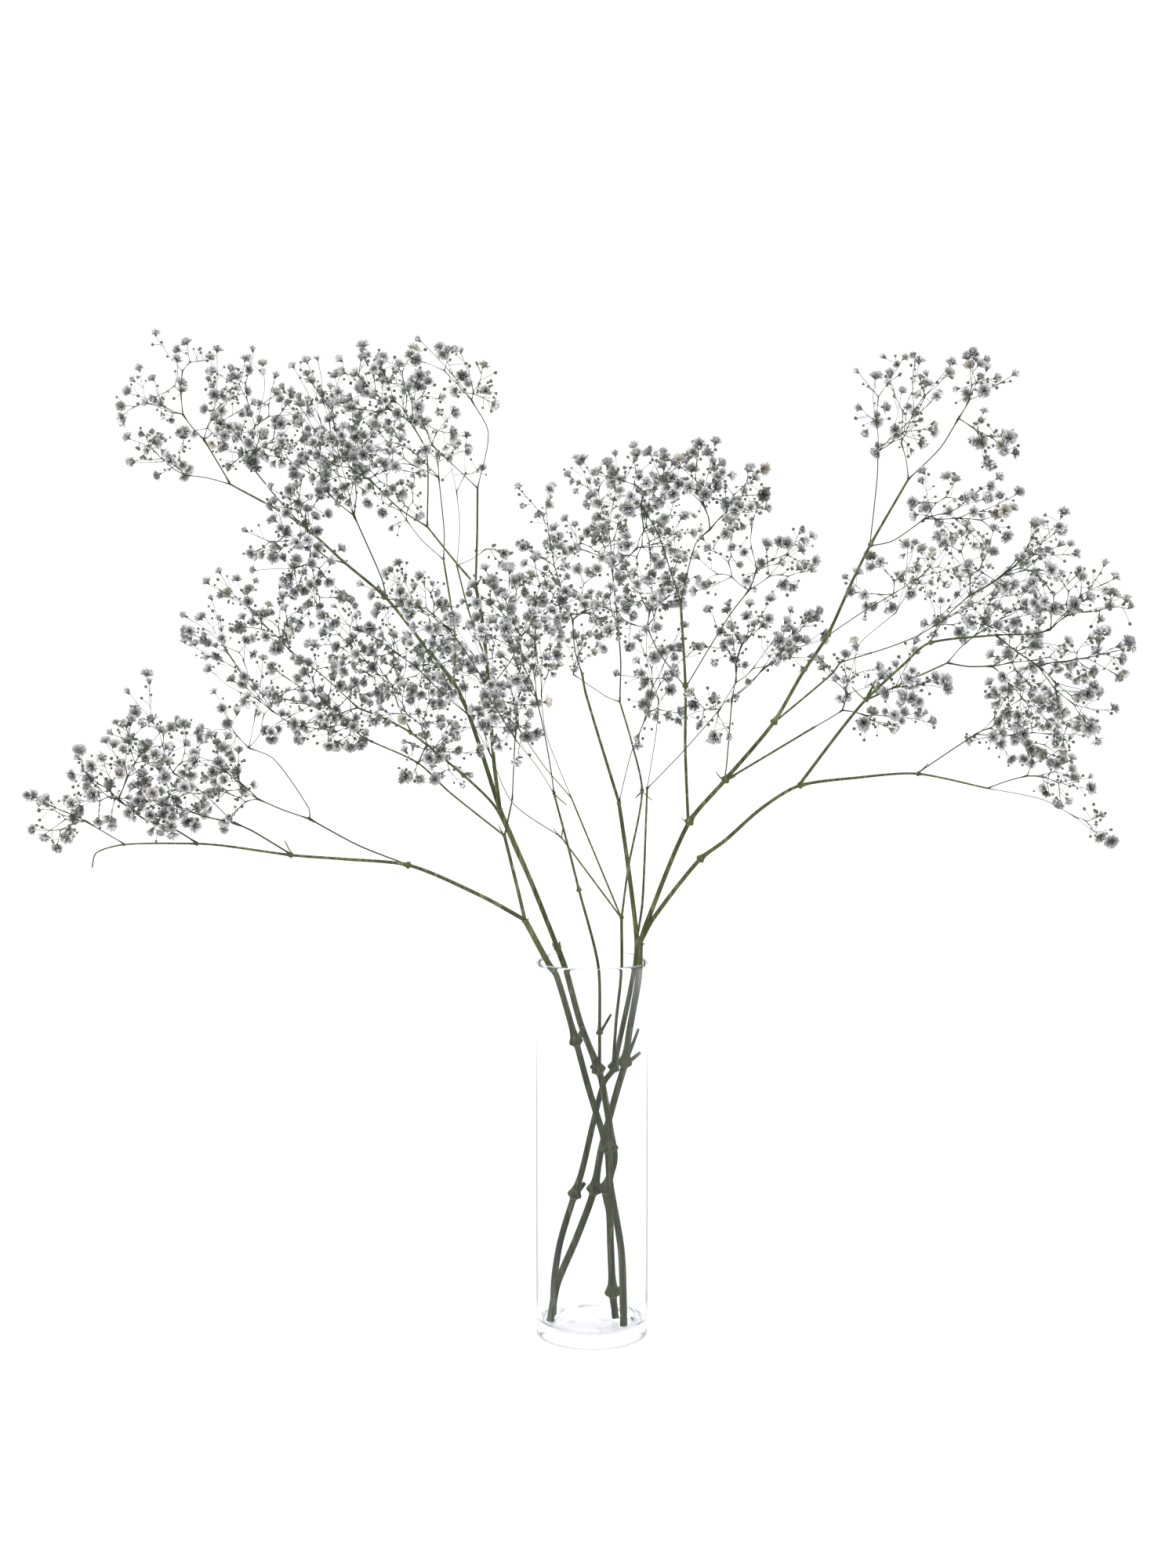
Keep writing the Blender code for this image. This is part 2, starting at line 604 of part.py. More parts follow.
def leaf(name, foot, tip, width, finish):
    """A small pointed blade, thick enough to print."""
    foot, tip = np.array(foot, float), np.array(tip, float)
    along = unit(tip - foot)
    across = unit(np.cross(along, (0.2, -1.0, 0.35)))
    thick = np.cross(along, across) * LEAF_THICKNESS
    waist = foot + 0.4 * (tip - foot)
    points = [foot - 0.8 * along, waist + across * width / 2, waist - across * width / 2]
    points += [waist + thick * 1.2, waist - thick * 0.8, tip]
    faces = [(0, 1, 3), (0, 3, 2), (0, 2, 4), (0, 4, 1), (5, 3, 1), (5, 2, 3), (5, 4, 2), (5, 1, 4)]
    return mesh_object(name, points, faces, finish)


def face_outward(piece):
    mesh = bmesh.new()
    mesh.from_mesh(piece.data)
    bmesh.ops.recalc_face_normals(mesh, faces=mesh.faces)
    mesh.to_mesh(piece.data)
    mesh.free()


def fuse(name, pieces):
    """Joins closed pieces into one solid of this name."""
    body, rest = pieces[0], pieces[1:]
    helpers = bpy.data.collections.new(name + "_pieces")
    bpy.context.scene.collection.children.link(helpers)
    for piece in pieces:
        face_outward(piece)
    for piece in rest:
        bpy.context.scene.collection.objects.unlink(piece)
        helpers.objects.link(piece)
    union = body.modifiers.new("union", "BOOLEAN")
    union.operation = "UNION"
    union.solver = "MANIFOLD"
    union.operand_type = "COLLECTION"
    union.collection = helpers
    for other in bpy.context.selected_objects:
        other.select_set(False)
    bpy.context.view_layer.objects.active = body
    body.select_set(True)
    bpy.ops.object.modifier_apply(modifier=union.name)
    for piece in rest:
        bpy.data.objects.remove(piece)
    bpy.data.collections.remove(helpers)
    body.name = name
    body.data.name = name
    return body


def build_stem(name, finish):
    pieces = []
    for route_name, first, last, knots, route in STEMS[name]:
        stations = stations_of(first, last, knots, route)
        pieces.append(rod(route_name, stations, sides_of(first), finish))
    for stem, foot, end, radius in STUBS:
        if stem == name:
            pieces.append(rod("stub", [(foot, radius), (end, radius * 0.8)], 4, finish))
    for stem, foot, tip, width in LEAVES:
        if stem == name:
            pieces.append(leaf("leaf", foot, tip, width, finish))
    return fuse(name, pieces)


# Room between pieces


def nearest_gap(starts, ends, radii, start, end, radius):
    """Gap from one round rod to each of many, as straight capsules."""
    if not len(starts):
        return np.empty(0)
    u, v, w = ends - starts, end - start, starts - start
    a, b, c = (u * u).sum(1), u @ v, v @ v
    d, e = (u * w).sum(1), w @ v
    spread = a * c - b * b
    s = np.where(spread > 1e-6, (b * e - c * d) / np.maximum(spread, 1e-6), 0.0).clip(0, 1)
    t = ((b * s + e) / max(c, 1e-9)).clip(0, 1)
    s = ((b * t - d) / np.maximum(a, 1e-9)).clip(0, 1)
    between = (starts + s[:, None] * u) - (start + t[:, None] * v)
    return np.sqrt((between * between).sum(1)) - radii - radius


class Room:
    """Every rod and bloom so far, by the node that owns it."""

    def __init__(self):
        self.starts, self.ends, self.radii, self.owners = [], [], [], []
        self.packed = None

    def add(self, start, end, radius, owner):
        self.starts.append(np.array(start, float))
        self.ends.append(np.array(end, float))
        self.radii.append(radius)
        self.owners.append(owner)
        self.packed = None

    def gap(self, start, end, radius, without):
        """Smallest gap from a rod to all that is here but some owners' own."""
        if self.packed is None:
            lists = (self.starts, self.ends, self.radii, self.owners)
            self.packed = [np.array(list_) for list_ in lists]
        starts, ends, radii, owners = self.packed
        others = ~np.isin(owners, without)
        return nearest_gap(starts[others], ends[others], radii[others], start, end, radius).min()


def add_stems(room):
    for name, routes in STEMS.items():
        for _, first, last, knots, route in routes:
            stations = stations_of(first, last, knots, route)
            for (start, near), (end, far) in zip(stations, stations[1:]):
                room.add(start, end, max(near, far), name)
        for stem, foot, end, radius in STUBS:
            if stem == name:
                room.add(foot, end, radius, name)
        for stem, foot, tip, width in LEAVES:
            if stem == name:
                room.add(foot, tip, width / 2, name)


# Sprays


class Twig:
    """One point of a forking spray, with what grows on from it."""

    def __init__(self, place):
        self.place = np.array(place, float)
        self.kids = []
        self.load = 1
        self.blooms = False


def cloud_places(number, cloud, taken):
    """Places of a cloud's blooms, each as far as it can be from those before it."""
    _, centre, half, count = cloud
    draw = np.random.default_rng(SEED + number)
    places = []
    for _ in range(count):
        tries = draw.normal(size=(60, 3))
        tries /= np.linalg.norm(tries, axis=1)[:, None]
        tries = np.array(centre) + np.array(half) * tries * draw.random((60, 1)) ** 0.4
        others = np.array(taken + places) if taken or places else np.full((1, 3), 1e6)
        room = np.linalg.norm(tries[:, None] - others[None], axis=2).min(1)
        places.append(tries[np.argmax(np.minimum(room, 4 * BLOOM_SPACING))])
    return places


def split(goals):
    """Two groups of places that lie near each other."""
    one = goals[np.argmax(((goals - goals.mean(0)) ** 2).sum(1))]
    two = goals[np.argmax(((goals - one) ** 2).sum(1))]
    near = ((goals - one) ** 2).sum(1) <= ((goals - two) ** 2).sum(1)
    for _ in range(5):
        one, two = goals[near].mean(0), goals[~near].mean(0)
        again = ((goals - one) ** 2).sum(1) <= ((goals - two) ** 2).sum(1)
        if again.all() or not again.any():
            break
        near = again
    return [goals[near], goals[~near]]


def grow(twig, goals):
    """Forks a twig towards all its goals, and puts a bloom at each."""
    groups = [goals]
    if len(goals) > 1:
        groups = split(goals)
    if len(goals) > 4:
        groups.sort(key=len)
        groups = groups[:1] + split(groups[1])
    for group in groups:
        if len(group) == 1:
            bloom = Twig(group[0])
            bloom.blooms = True
            twig.kids.append(bloom)
        else:
            fork = Twig(twig.place + FORK_PLACE * (group.mean(0) - twig.place))
            twig.kids.append(fork)
            grow(fork, group)


def weigh(twig):
    if twig.kids:
        twig.load = sum(weigh(kid) for kid in twig.kids)
    return twig.load


def thickness(twig):
    return TWIG_RADIUS + TWIG_GROWTH * math.sqrt(twig.load - 1)


def spray_tree(routes, goals):
    """The spray as twigs: its thin branches first, then the forks that reach the blooms."""
    root = Twig(routes[0][0])
    line = [root]
    for point in routes[0][1:]:
        line.append(Twig(point))
        line[-2].kids.append(line[-1])
    tips = [line[-1]]
    if len(routes) > 1:
        forks_at = routes[0].index(routes[1][0])
        fork = line[forks_at]
        if forks_at == 0:
            ahead = unit(np.mean([unit(np.subtract(r[1], r[0])) for r in routes], axis=0))
            fork = Twig(root.place + FIRST_FORK * ahead)
            fork.kids, root.kids = root.kids, [fork]
        for point in routes[1][1:]:
            fork.kids.append(Twig(point))
            fork = fork.kids[-1]
        tips.append(fork)
    for tip, places in zip(tips, goals):
        grow(tip, np.array(places))
    weigh(root)
    return root


def rods_of(twig, found):
    """Every straight piece of a spray as (start, end, radius, the twigs at its ends)."""
    for kid in twig.kids:
        found.append((twig.place, kid.place, thickness(kid), twig, kid))
        rods_of(kid, found)
        if kid.blooms:
            along = unit(kid.place - twig.place)
            found.append((kid.place + along, kid.place + 3 * along, BLOOM_ROOM, kid, kid))
    return found


def add_branches(room):
    """Keeps room for every spray's thin branches before any bloom is placed."""
    for name, _, routes, _ in SPRAYS:
        for route in routes:
            for start, end in zip(route, route[1:]):
                start, end = np.array(start, float), np.array(end, float)
                room.add(start + SEAT_REACH * unit(end - start), end, BRANCH_RADIUS, name)


def crowded(name, parent, rods, room):
    """Blooms that stand too near another node or too near a twig of their own spray."""
    starts, ends, radii = (np.array([rod_[i] for rod_ in rods]) for i in range(3))
    root = rods[0][3]
    blocked = []
    for i, (start, end, radius, foot, head) in enumerate(rods):
        gaps = nearest_gap(starts, ends, radii, start, end, radius)
        apart = [not {id(foot), id(head)} & {id(rod_[3]), id(rod_[4])} for rod_ in rods]
        without = (name, parent) if foot is root else (name,)
        if (gaps[apart] < GAP).any() or room.gap(start, end, radius, without) < GAP:
            blocked.append(i)
    return blocked


def blooms_under(twig):
    if twig.blooms:
        return [twig.place]
    return [place for kid in twig.kids for place in blooms_under(kid)]


def is_inside(shell, point):
    """Whether a closed surface holds a point: a line from the point then crosses it an odd number of times."""
    crossings = 0
    ray = Vector(unit(SIDEWAYS))
    place = Vector(point)
    while place is not None:
        place = shell.ray_cast(place + 1e-4 * ray, ray)[0]
        crossings += place is not None
    return crossings % 2 == 1


def seat(root, shell):
    """Moves the root out of its stem, to just off the stem's surface."""
    ahead = unit(root.kids[0].place - root.place)
    while np.linalg.norm(root.kids[0].place - root.place) > 1:
        ring, _ = ring_points(root.place, ahead, SIDEWAYS, thickness(root), 6)
        nearest = GAP
        for point in [p + step * ahead for p in ring + [root.place] for step in range(SEAT_REACH)]:
            nearest = 0 if is_inside(shell, point) else min(nearest, shell.find_nearest(point)[3])
        if nearest >= GAP:
            return
        root.place = root.place + SEAT_STEP * ahead
    raise ValueError("a spray finds no seat")


def shell_of(stem):
    """A stem's surface in millimetres, to measure distances from."""
    points = [vertex.co / MM for vertex in stem.data.vertices]
    return BVHTree.FromPolygons(points, [tuple(polygon.vertices) for polygon in stem.data.polygons])


class Skin:
    """The spray's surface, grown from ring to ring."""

    def __init__(self):
        self.points, self.faces = [], []

    def ring(self, centre, along, radius, start):
        """Three points round a centre, turned to run straight on from the start's three."""
        x = unit(np.cross(along, SIDEWAYS))
        y = np.cross(along, x)
        middle = np.mean([self.points[i] for i in start], axis=0)
        lean = 0j
        for k, i in enumerate(start):
            offset = self.points[i] - middle
            angle = math.atan2(offset @ y, offset @ x) - 2 * math.pi * k / 3
            lean += complex(math.cos(angle), math.sin(angle))
        base = math.atan2(lean.imag, lean.real)
        first = len(self.points)
        for k in range(3):
            angle = base + 2 * math.pi * k / 3
            self.points.append(centre + radius * (math.cos(angle) * x + math.sin(angle) * y))
        return [first, first + 1, first + 2]

    def wall(self, low, high):
        for k in range(3):
            a, b, c, d = low[k], low[(k + 1) % 3], high[(k + 1) % 3], high[k]
            across = np.linalg.norm(self.points[a] - self.points[c])
            back = np.linalg.norm(self.points[b] - self.points[d])
            self.faces += [(a, b, c), (a, c, d)] if across < back else [(a, b, d), (b, c, d)]

    def bloom(self, ring, along):
        """Petals in two heights round a raised centre."""
        foot = np.mean([self.points[i] for i in ring], axis=0)
        x = unit(self.points[ring[0]] - foot)
        y = np.cross(along, x)
        first, count = len(self.points), 2 * BLOOM_PETALS
        for k in range(count):
            turn = 2 * math.pi * k / count
            reach, rise = PETAL_NOTCH, NOTCH_RISE
            if k % 2 == 0:
                reach, rise = PETAL_REACH, PETAL_RISE[k // 2 % 2]
            self.points.append(foot + rise * along + reach * (math.cos(turn) * x + math.sin(turn) * y))
        self.points.append(foot + BLOOM_HEIGHT * along)
        top = first + count
        for k in range(count):
            after = (k + 1) % count
            near, next_near = ring[round(3 * k / count) % 3], ring[round(3 * (k + 1) / count) % 3]
            self.faces.append((first + k, first + after, top))
            self.faces.append((near, first + after, first + k))
            if near != next_near:
                self.faces.append((near, next_near, first + after))

    def grow(self, start, before, twig):
        """Runs the surface from three points of what came before out to the twig's tips."""
        into = unit(twig.place - before)
        along = into
        if twig.kids:
            away = unit(np.mean([unit(kid.place - twig.place) for kid in twig.kids], axis=0))
            along = unit(into + away)
        ring = self.ring(twig.place, along, thickness(twig), start)
        self.wall(start, ring)
        if twig.blooms:
            self.bloom(ring, along)
        elif len(twig.kids) == 1:
            self.grow(ring, twig.place, twig.kids[0])
        else:
            self.fork(ring, along, twig)

    def fork(self, ring, along, twig):
        """Raises a point over the ring and lets each side of it carry one twig."""
        peak = len(self.points)
        self.points.append(twig.place + FORK_RISE * thickness(twig) * along)
        sides = [(ring[k], ring[(k + 1) % 3], peak) for k in range(3)]
        facing = []
        for a, b, c in sides:
            one, two = self.points[b] - self.points[a], self.points[c] - self.points[a]
            facing.append(unit(np.cross(one, two)))
        ways = [unit(kid.place - twig.place) for kid in twig.kids]
        orders = [(i, j, k) for i in range(3) for j in range(3) for k in range(3) if {i, j, k} == {0, 1, 2}]
        best = max(orders, key=lambda order: sum(facing[s] @ way for s, way in zip(order, ways)))
        for slot, kid in zip(best, twig.kids):
            self.grow(sides[slot], twig.place, kid)
        self.faces += [sides[s] for s in best[len(ways):]]

    def whole(self, root):
        ahead = unit(root.kids[0].place - root.place)
        ring, _ = ring_points(root.place, ahead, SIDEWAYS, thickness(root), 3)
        self.points += ring
        self.faces.append((2, 1, 0))
        self.grow([0, 1, 2], root.place, root.kids[0])


def stem_of(route_name):
    """The stem that a route belongs to."""
    for stem, routes in STEMS.items():
        if route_name in [route[0] for route in routes]:
            return stem
    raise ValueError("no route is named " + route_name)


def build_spray(number, spray, room, shells, taken, finish):
    """One spray as a node. Blooms that come too near anything else move a little and are tried again."""
    name, parent_route, routes, clouds = spray
    parent = stem_of(parent_route)
    goals = [[] for _ in routes]
    for cloud in clouds:
        places = cloud_places(number, cloud, taken)
        number += 1
        taken += places
        goals[cloud[0]] += places[: max(2, round(SHARE_OF_BLOOMS * len(places)))]
    draw = np.random.default_rng(SEED + 7 * number)
    for attempt in range(MOST_ATTEMPTS):
        root = spray_tree(routes, goals)
        seat(root, shells[parent])
        rods = rods_of(root, [])
        blocked = crowded(name, parent, rods, room)
        if not blocked:
            break
        moved = {tuple(place) for i in blocked for place in blooms_under(rods[i][4])}
        for group in goals:
            for k, place in enumerate(group):
                if tuple(place) in moved:
                    group[k] = place + draw.normal(size=3) * (1.0 + 0.01 * attempt)
    else:
        raise ValueError(name + " finds no room")
    for start, end, radius, _, _ in rods:
        room.add(start, end, radius, name)
    skin = Skin()
    skin.whole(root)
    mesh_object(name, skin.points, skin.faces, finish)
    return number


def main():
    clear_scene()
    build_vase()
    green = material("green_stem", (0.13, 0.16, 0.07), 0.55)
    bloom = material("grey_bloom", (0.42, 0.42, 0.48), 0.8)
    shells = {name: shell_of(build_stem(name, green)) for name in STEMS}
    room = Room()
    add_stems(room)
    add_branches(room)
    taken = []
    number = 0
    for spray in SPRAYS:
        number = build_spray(number, spray, room, shells, taken, bloom)


main()
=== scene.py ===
"""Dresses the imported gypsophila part: fine glass, stems with knuckles, twigs, buds and double blooms.

Sizes in the tables are millimetres in the part's own frame: X to the right as seen from the front, Y away
from the viewer and Z up, from the centre of the vase's underside.
"""

import math

import bmesh
import bpy
import numpy as np
from bpy.props import FloatProperty, FloatVectorProperty, IntProperty, PointerProperty
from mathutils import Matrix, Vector


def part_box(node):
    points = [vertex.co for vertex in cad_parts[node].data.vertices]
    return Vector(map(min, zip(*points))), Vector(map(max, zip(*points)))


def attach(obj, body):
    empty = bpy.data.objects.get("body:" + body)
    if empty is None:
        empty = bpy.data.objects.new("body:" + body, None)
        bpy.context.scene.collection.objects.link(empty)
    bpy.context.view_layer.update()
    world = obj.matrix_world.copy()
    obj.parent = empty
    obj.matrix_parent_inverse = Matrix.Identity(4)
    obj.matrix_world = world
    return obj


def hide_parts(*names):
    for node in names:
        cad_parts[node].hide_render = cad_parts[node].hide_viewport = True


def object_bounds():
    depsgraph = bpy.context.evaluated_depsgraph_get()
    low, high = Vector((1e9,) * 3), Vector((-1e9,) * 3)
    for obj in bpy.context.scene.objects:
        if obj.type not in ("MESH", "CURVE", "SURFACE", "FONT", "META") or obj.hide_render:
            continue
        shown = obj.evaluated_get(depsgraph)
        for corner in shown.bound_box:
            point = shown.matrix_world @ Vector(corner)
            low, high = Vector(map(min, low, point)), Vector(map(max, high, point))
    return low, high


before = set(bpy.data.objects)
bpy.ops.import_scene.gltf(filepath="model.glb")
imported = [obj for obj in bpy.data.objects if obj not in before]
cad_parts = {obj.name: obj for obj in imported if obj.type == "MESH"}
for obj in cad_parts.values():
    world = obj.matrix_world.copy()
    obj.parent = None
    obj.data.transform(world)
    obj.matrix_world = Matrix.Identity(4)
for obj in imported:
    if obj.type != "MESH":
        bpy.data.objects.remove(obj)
CAD_BOX = [list(corner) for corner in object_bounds()]

bl_info = {
    "name": "Gypsophila stems in a glass vase",
    "version": (1, 0, 0),
    "blender": (4, 5, 0),
    "location": "3D View > Sidebar > Gypsophila",
    "description": "Models the glass, stems, twigs, buds and blooms of cut gypsophila in a vase",
    "category": "Object",
}

MM = 0.001

# What the solids in the frame were made with too
THIN_STEM = 1.15  # largest radius of a stem that is drawn with few sides
VASE_BASE = 10.5  # height of the vase's floor
GAP = 0.3  # between a stem's foot and that floor
FOOT_HEIGHT = 20  # a route that starts below this stands on the floor
FORK_PLACE = 0.46  # where a twig forks, as a share of the way to its blooms
BLOOM_SPACING = 8.5
SEED = 3310

# Branches of each stem: first and last radius, which points are knuckles, points
STEMS = {
    "stem_a": (
        (3.0, 2.3, (3, 6, 9), ((25, -18, 12), (23, -20, 73), (14, -23, 130), (12, -24, 156),
            (2, -22, 190), (-4, -20, 210), (-12, -18, 240), (-28, -14, 295), (-34, -18, 304),
            (-53, -16, 339))),
        (1.7, 0.5, (2, 4, 6, 7), ((-53, -16, 339), (-86, -25, 359), (-141, -45, 386),
            (-192, -60, 393), (-228, -70, 397), (-277, -78, 405), (-298, -80, 407), (-352, -85, 407),
            (-373, -88, 401), (-376, -90, 390))),
        (1.5, 1.3, (2,), ((-53, -16, 339), (-58, -6, 358), (-70, 10, 403))),
        (0.9, 0.7, (2,), ((-70, 10, 403), (-116, 30, 437), (-141, 40, 459), (-180, 60, 475))),
        (0.9, 0.7, (), ((-70, 10, 403), (-63, -10, 434))),
    ),
    "stem_b": (
        (3.0, 2.5, (1, 4, 8, 11), ((19, 0, 12), (17, -1, 30), (15, -3, 73), (14, -5, 100),
            (11, -6, 117), (18, -6, 144), (15, -6, 166), (11, -5, 190), (6, -4, 214), (-9, 11, 250),
            (-22, 24, 294), (-28, 26, 310))),
        (2.0, 1.9, (2,), ((-28, 26, 310), (-48, 34, 359), (-75, 42, 421))),
        (1.5, 0.8, (4, 5, 6), ((-28, 26, 310), (-43, 46, 345), (-61, 58, 382), (-80, 72, 420),
            (-106, 82, 445), (-151, 95, 480), (-172, 102, 491), (-198, 110, 501))),
        (1.9, 0.8, (2, 4, 6, 7), ((-75, 42, 421), (-100, 50, 497), (-113, 56, 524),
            (-139, 66, 556), (-170, 80, 593), (-205, 92, 622), (-245, 106, 656), (-305, 122, 689))),
        (1.7, 1.3, (4,), ((-75, 42, 421), (-79, 22, 463), (-81, -10, 521), (-84, -34, 569),
            (-89, -48, 602))),
        (0.9, 0.8, (2,), ((-89, -48, 602), (-87, -60, 641), (-86, -70, 674))),
        (1.0, 0.8, (2,), ((-89, -48, 602), (-105, -40, 620), (-127, -30, 647))),
        (0.9, 0.8, (2,), ((-113, 56, 524), (-114, 90, 562), (-126, 130, 626))),
        (0.8, 0.7, (2,), ((-83, -22, 545), (-98, 10, 583), (-109, 40, 619))),
        (1.4, 0.8, (1, 3, 5), ((6, -4, 214), (6, -8, 246), (5, -10, 301), (-10, -30, 364),
            (-20, -50, 407), (-29, -70, 444))),
    ),
    "stem_c": (
        (3.0, 1.6, (3, 7, 12), ((-32, 8, 12), (-31, 9, 41), (-26, 11, 71), (-15, 13, 107),
            (-8, 15, 129), (2, 16, 172), (10, 15, 202), (17, 14, 212), (21, 13, 229), (34, 9, 293),
            (36, 12, 318), (30, 20, 371), (22, 40, 427))),
        (1.3, 1.0, (2,), ((22, 40, 427), (-5, 80, 514), (-8, 85, 530))),
        (1.4, 1.2, (3,), ((17, 14, 212), (20, 19, 252), (24, 22, 289), (24, 26, 334))),
        (0.8, 0.7, (1,), ((24, 26, 334), (-25, 60, 396))),
        (0.8, 0.7, (), ((24, 26, 334), (-17, 70, 428))),
        (1.0, 0.8, (2, 4), ((24, 26, 334), (30, 50, 373), (42, 86, 432), (34, 110, 471),
            (24, 130, 505))),
        (1.1, 0.8, (2,), ((36, 12, 318), (40, -10, 353), (42, -60, 447))),
    ),
    "stem_d": (
        (3.0, 2.6, (3, 7, 10), ((-33, -8, 13), (-28, -6, 41), (-12, -2, 79), (1, 2, 114),
            (7, 4, 147), (13, 4, 171), (21, 2, 201), (26, 0, 219), (30, -2, 248), (37, -6, 292),
            (38, -8, 319))),
        (2.0, 0.9, (2, 3, 4, 6, 8, 9), ((38, -8, 319), (43, -10, 335), (75, -30, 417),
            (102, -40, 451), (139, -45, 496), (161, -45, 534), (180, -45, 563), (200, -40, 606),
            (213, -38, 632), (240, -50, 682))),
        (1.2, 1.0, (2, 3), ((75, -30, 417), (71, -60, 478), (70, -80, 525), (65, -105, 589))),
        (0.9, 0.8, (1,), ((102, -40, 451), (167, -70, 494))),
        (0.9, 0.8, (2,), ((139, -45, 496), (188, -10, 533), (196, 0, 542))),
        (1.9, 0.7, (2, 5, 7, 8), ((38, -8, 319), (48, -12, 339), (84, -20, 387), (104, -24, 403),
            (132, -30, 429), (160, -36, 447), (206, -30, 453), (255, -16, 455), (312, -10, 443))),
        (1.3, 0.8, (2, 4, 5), ((160, -36, 447), (187, -70, 491), (203, -95, 516), (228, -120, 544),
            (244, -130, 559), (290, -140, 565))),
        (0.8, 0.7, (1,), ((203, -95, 516), (270, -60, 543))),
    ),
}
# Cut side stubs: stem, foot, end, radius
STUBS = (
    ("stem_a", (12, -24, 156), (19, -30, 160), 1.9),
    ("stem_a", (-12, -18, 240), (-7, -24, 255), 1.5),
    ("stem_b", (17, -1, 30), (24, 2, 36), 1.6),
    ("stem_b", (6, -8, 246), (15, -12, 263), 0.9),
    ("stem_b", (6, -4, 214), (0, -13, 221), 1.8),
    ("stem_c", (-15, 13, 107), (-6, 20, 117), 1.5),
    ("stem_c", (17, 14, 212), (26, 21, 221), 1.6),
    ("stem_d", (1, 2, 114), (10, 6, 121), 1.5),
    ("stem_d", (26, 0, 219), (39, -2, 230), 1.3),
    ("stem_d", (26, 0, 219), (38, 4, 248), 1.2),
)

# Leaves left at the knuckles: stem, foot, tip, width
LEAVES = (
    ("stem_a", (-228, -70, 397), (-234, -66, 405), 3.2),
    ("stem_a", (-70, 10, 403), (-74, 3, 410), 2.4),
    ("stem_b", (-170, 80, 593), (-176, 76, 602), 3.0),
    ("stem_b", (-29, -70, 444), (-22, -76, 437), 3.0),
    ("stem_b", (-89, -48, 602), (-84, -55, 607), 2.4),
    ("stem_c", (-25, 60, 396), (-31, 54, 402), 2.6),
    ("stem_c", (-25, 60, 396), (-24, 66, 405), 2.4),
    ("stem_c", (42, 86, 432), (48, 80, 426), 2.8),
    ("stem_c", (42, 86, 432), (37, 92, 426), 2.8),
    ("stem_d", (102, -40, 451), (96, -45, 457), 2.8),
    ("stem_d", (102, -40, 451), (110, -36, 453), 2.6),
    ("stem_d", (203, -95, 516), (209, -100, 528), 4.2),
    ("stem_d", (203, -95, 516), (195, -90, 523), 3.4),
    ("stem_d", (255, -16, 455), (262, -21, 461), 2.8),
    ("stem_d", (75, -30, 417), (70, -36, 421), 2.4),
)

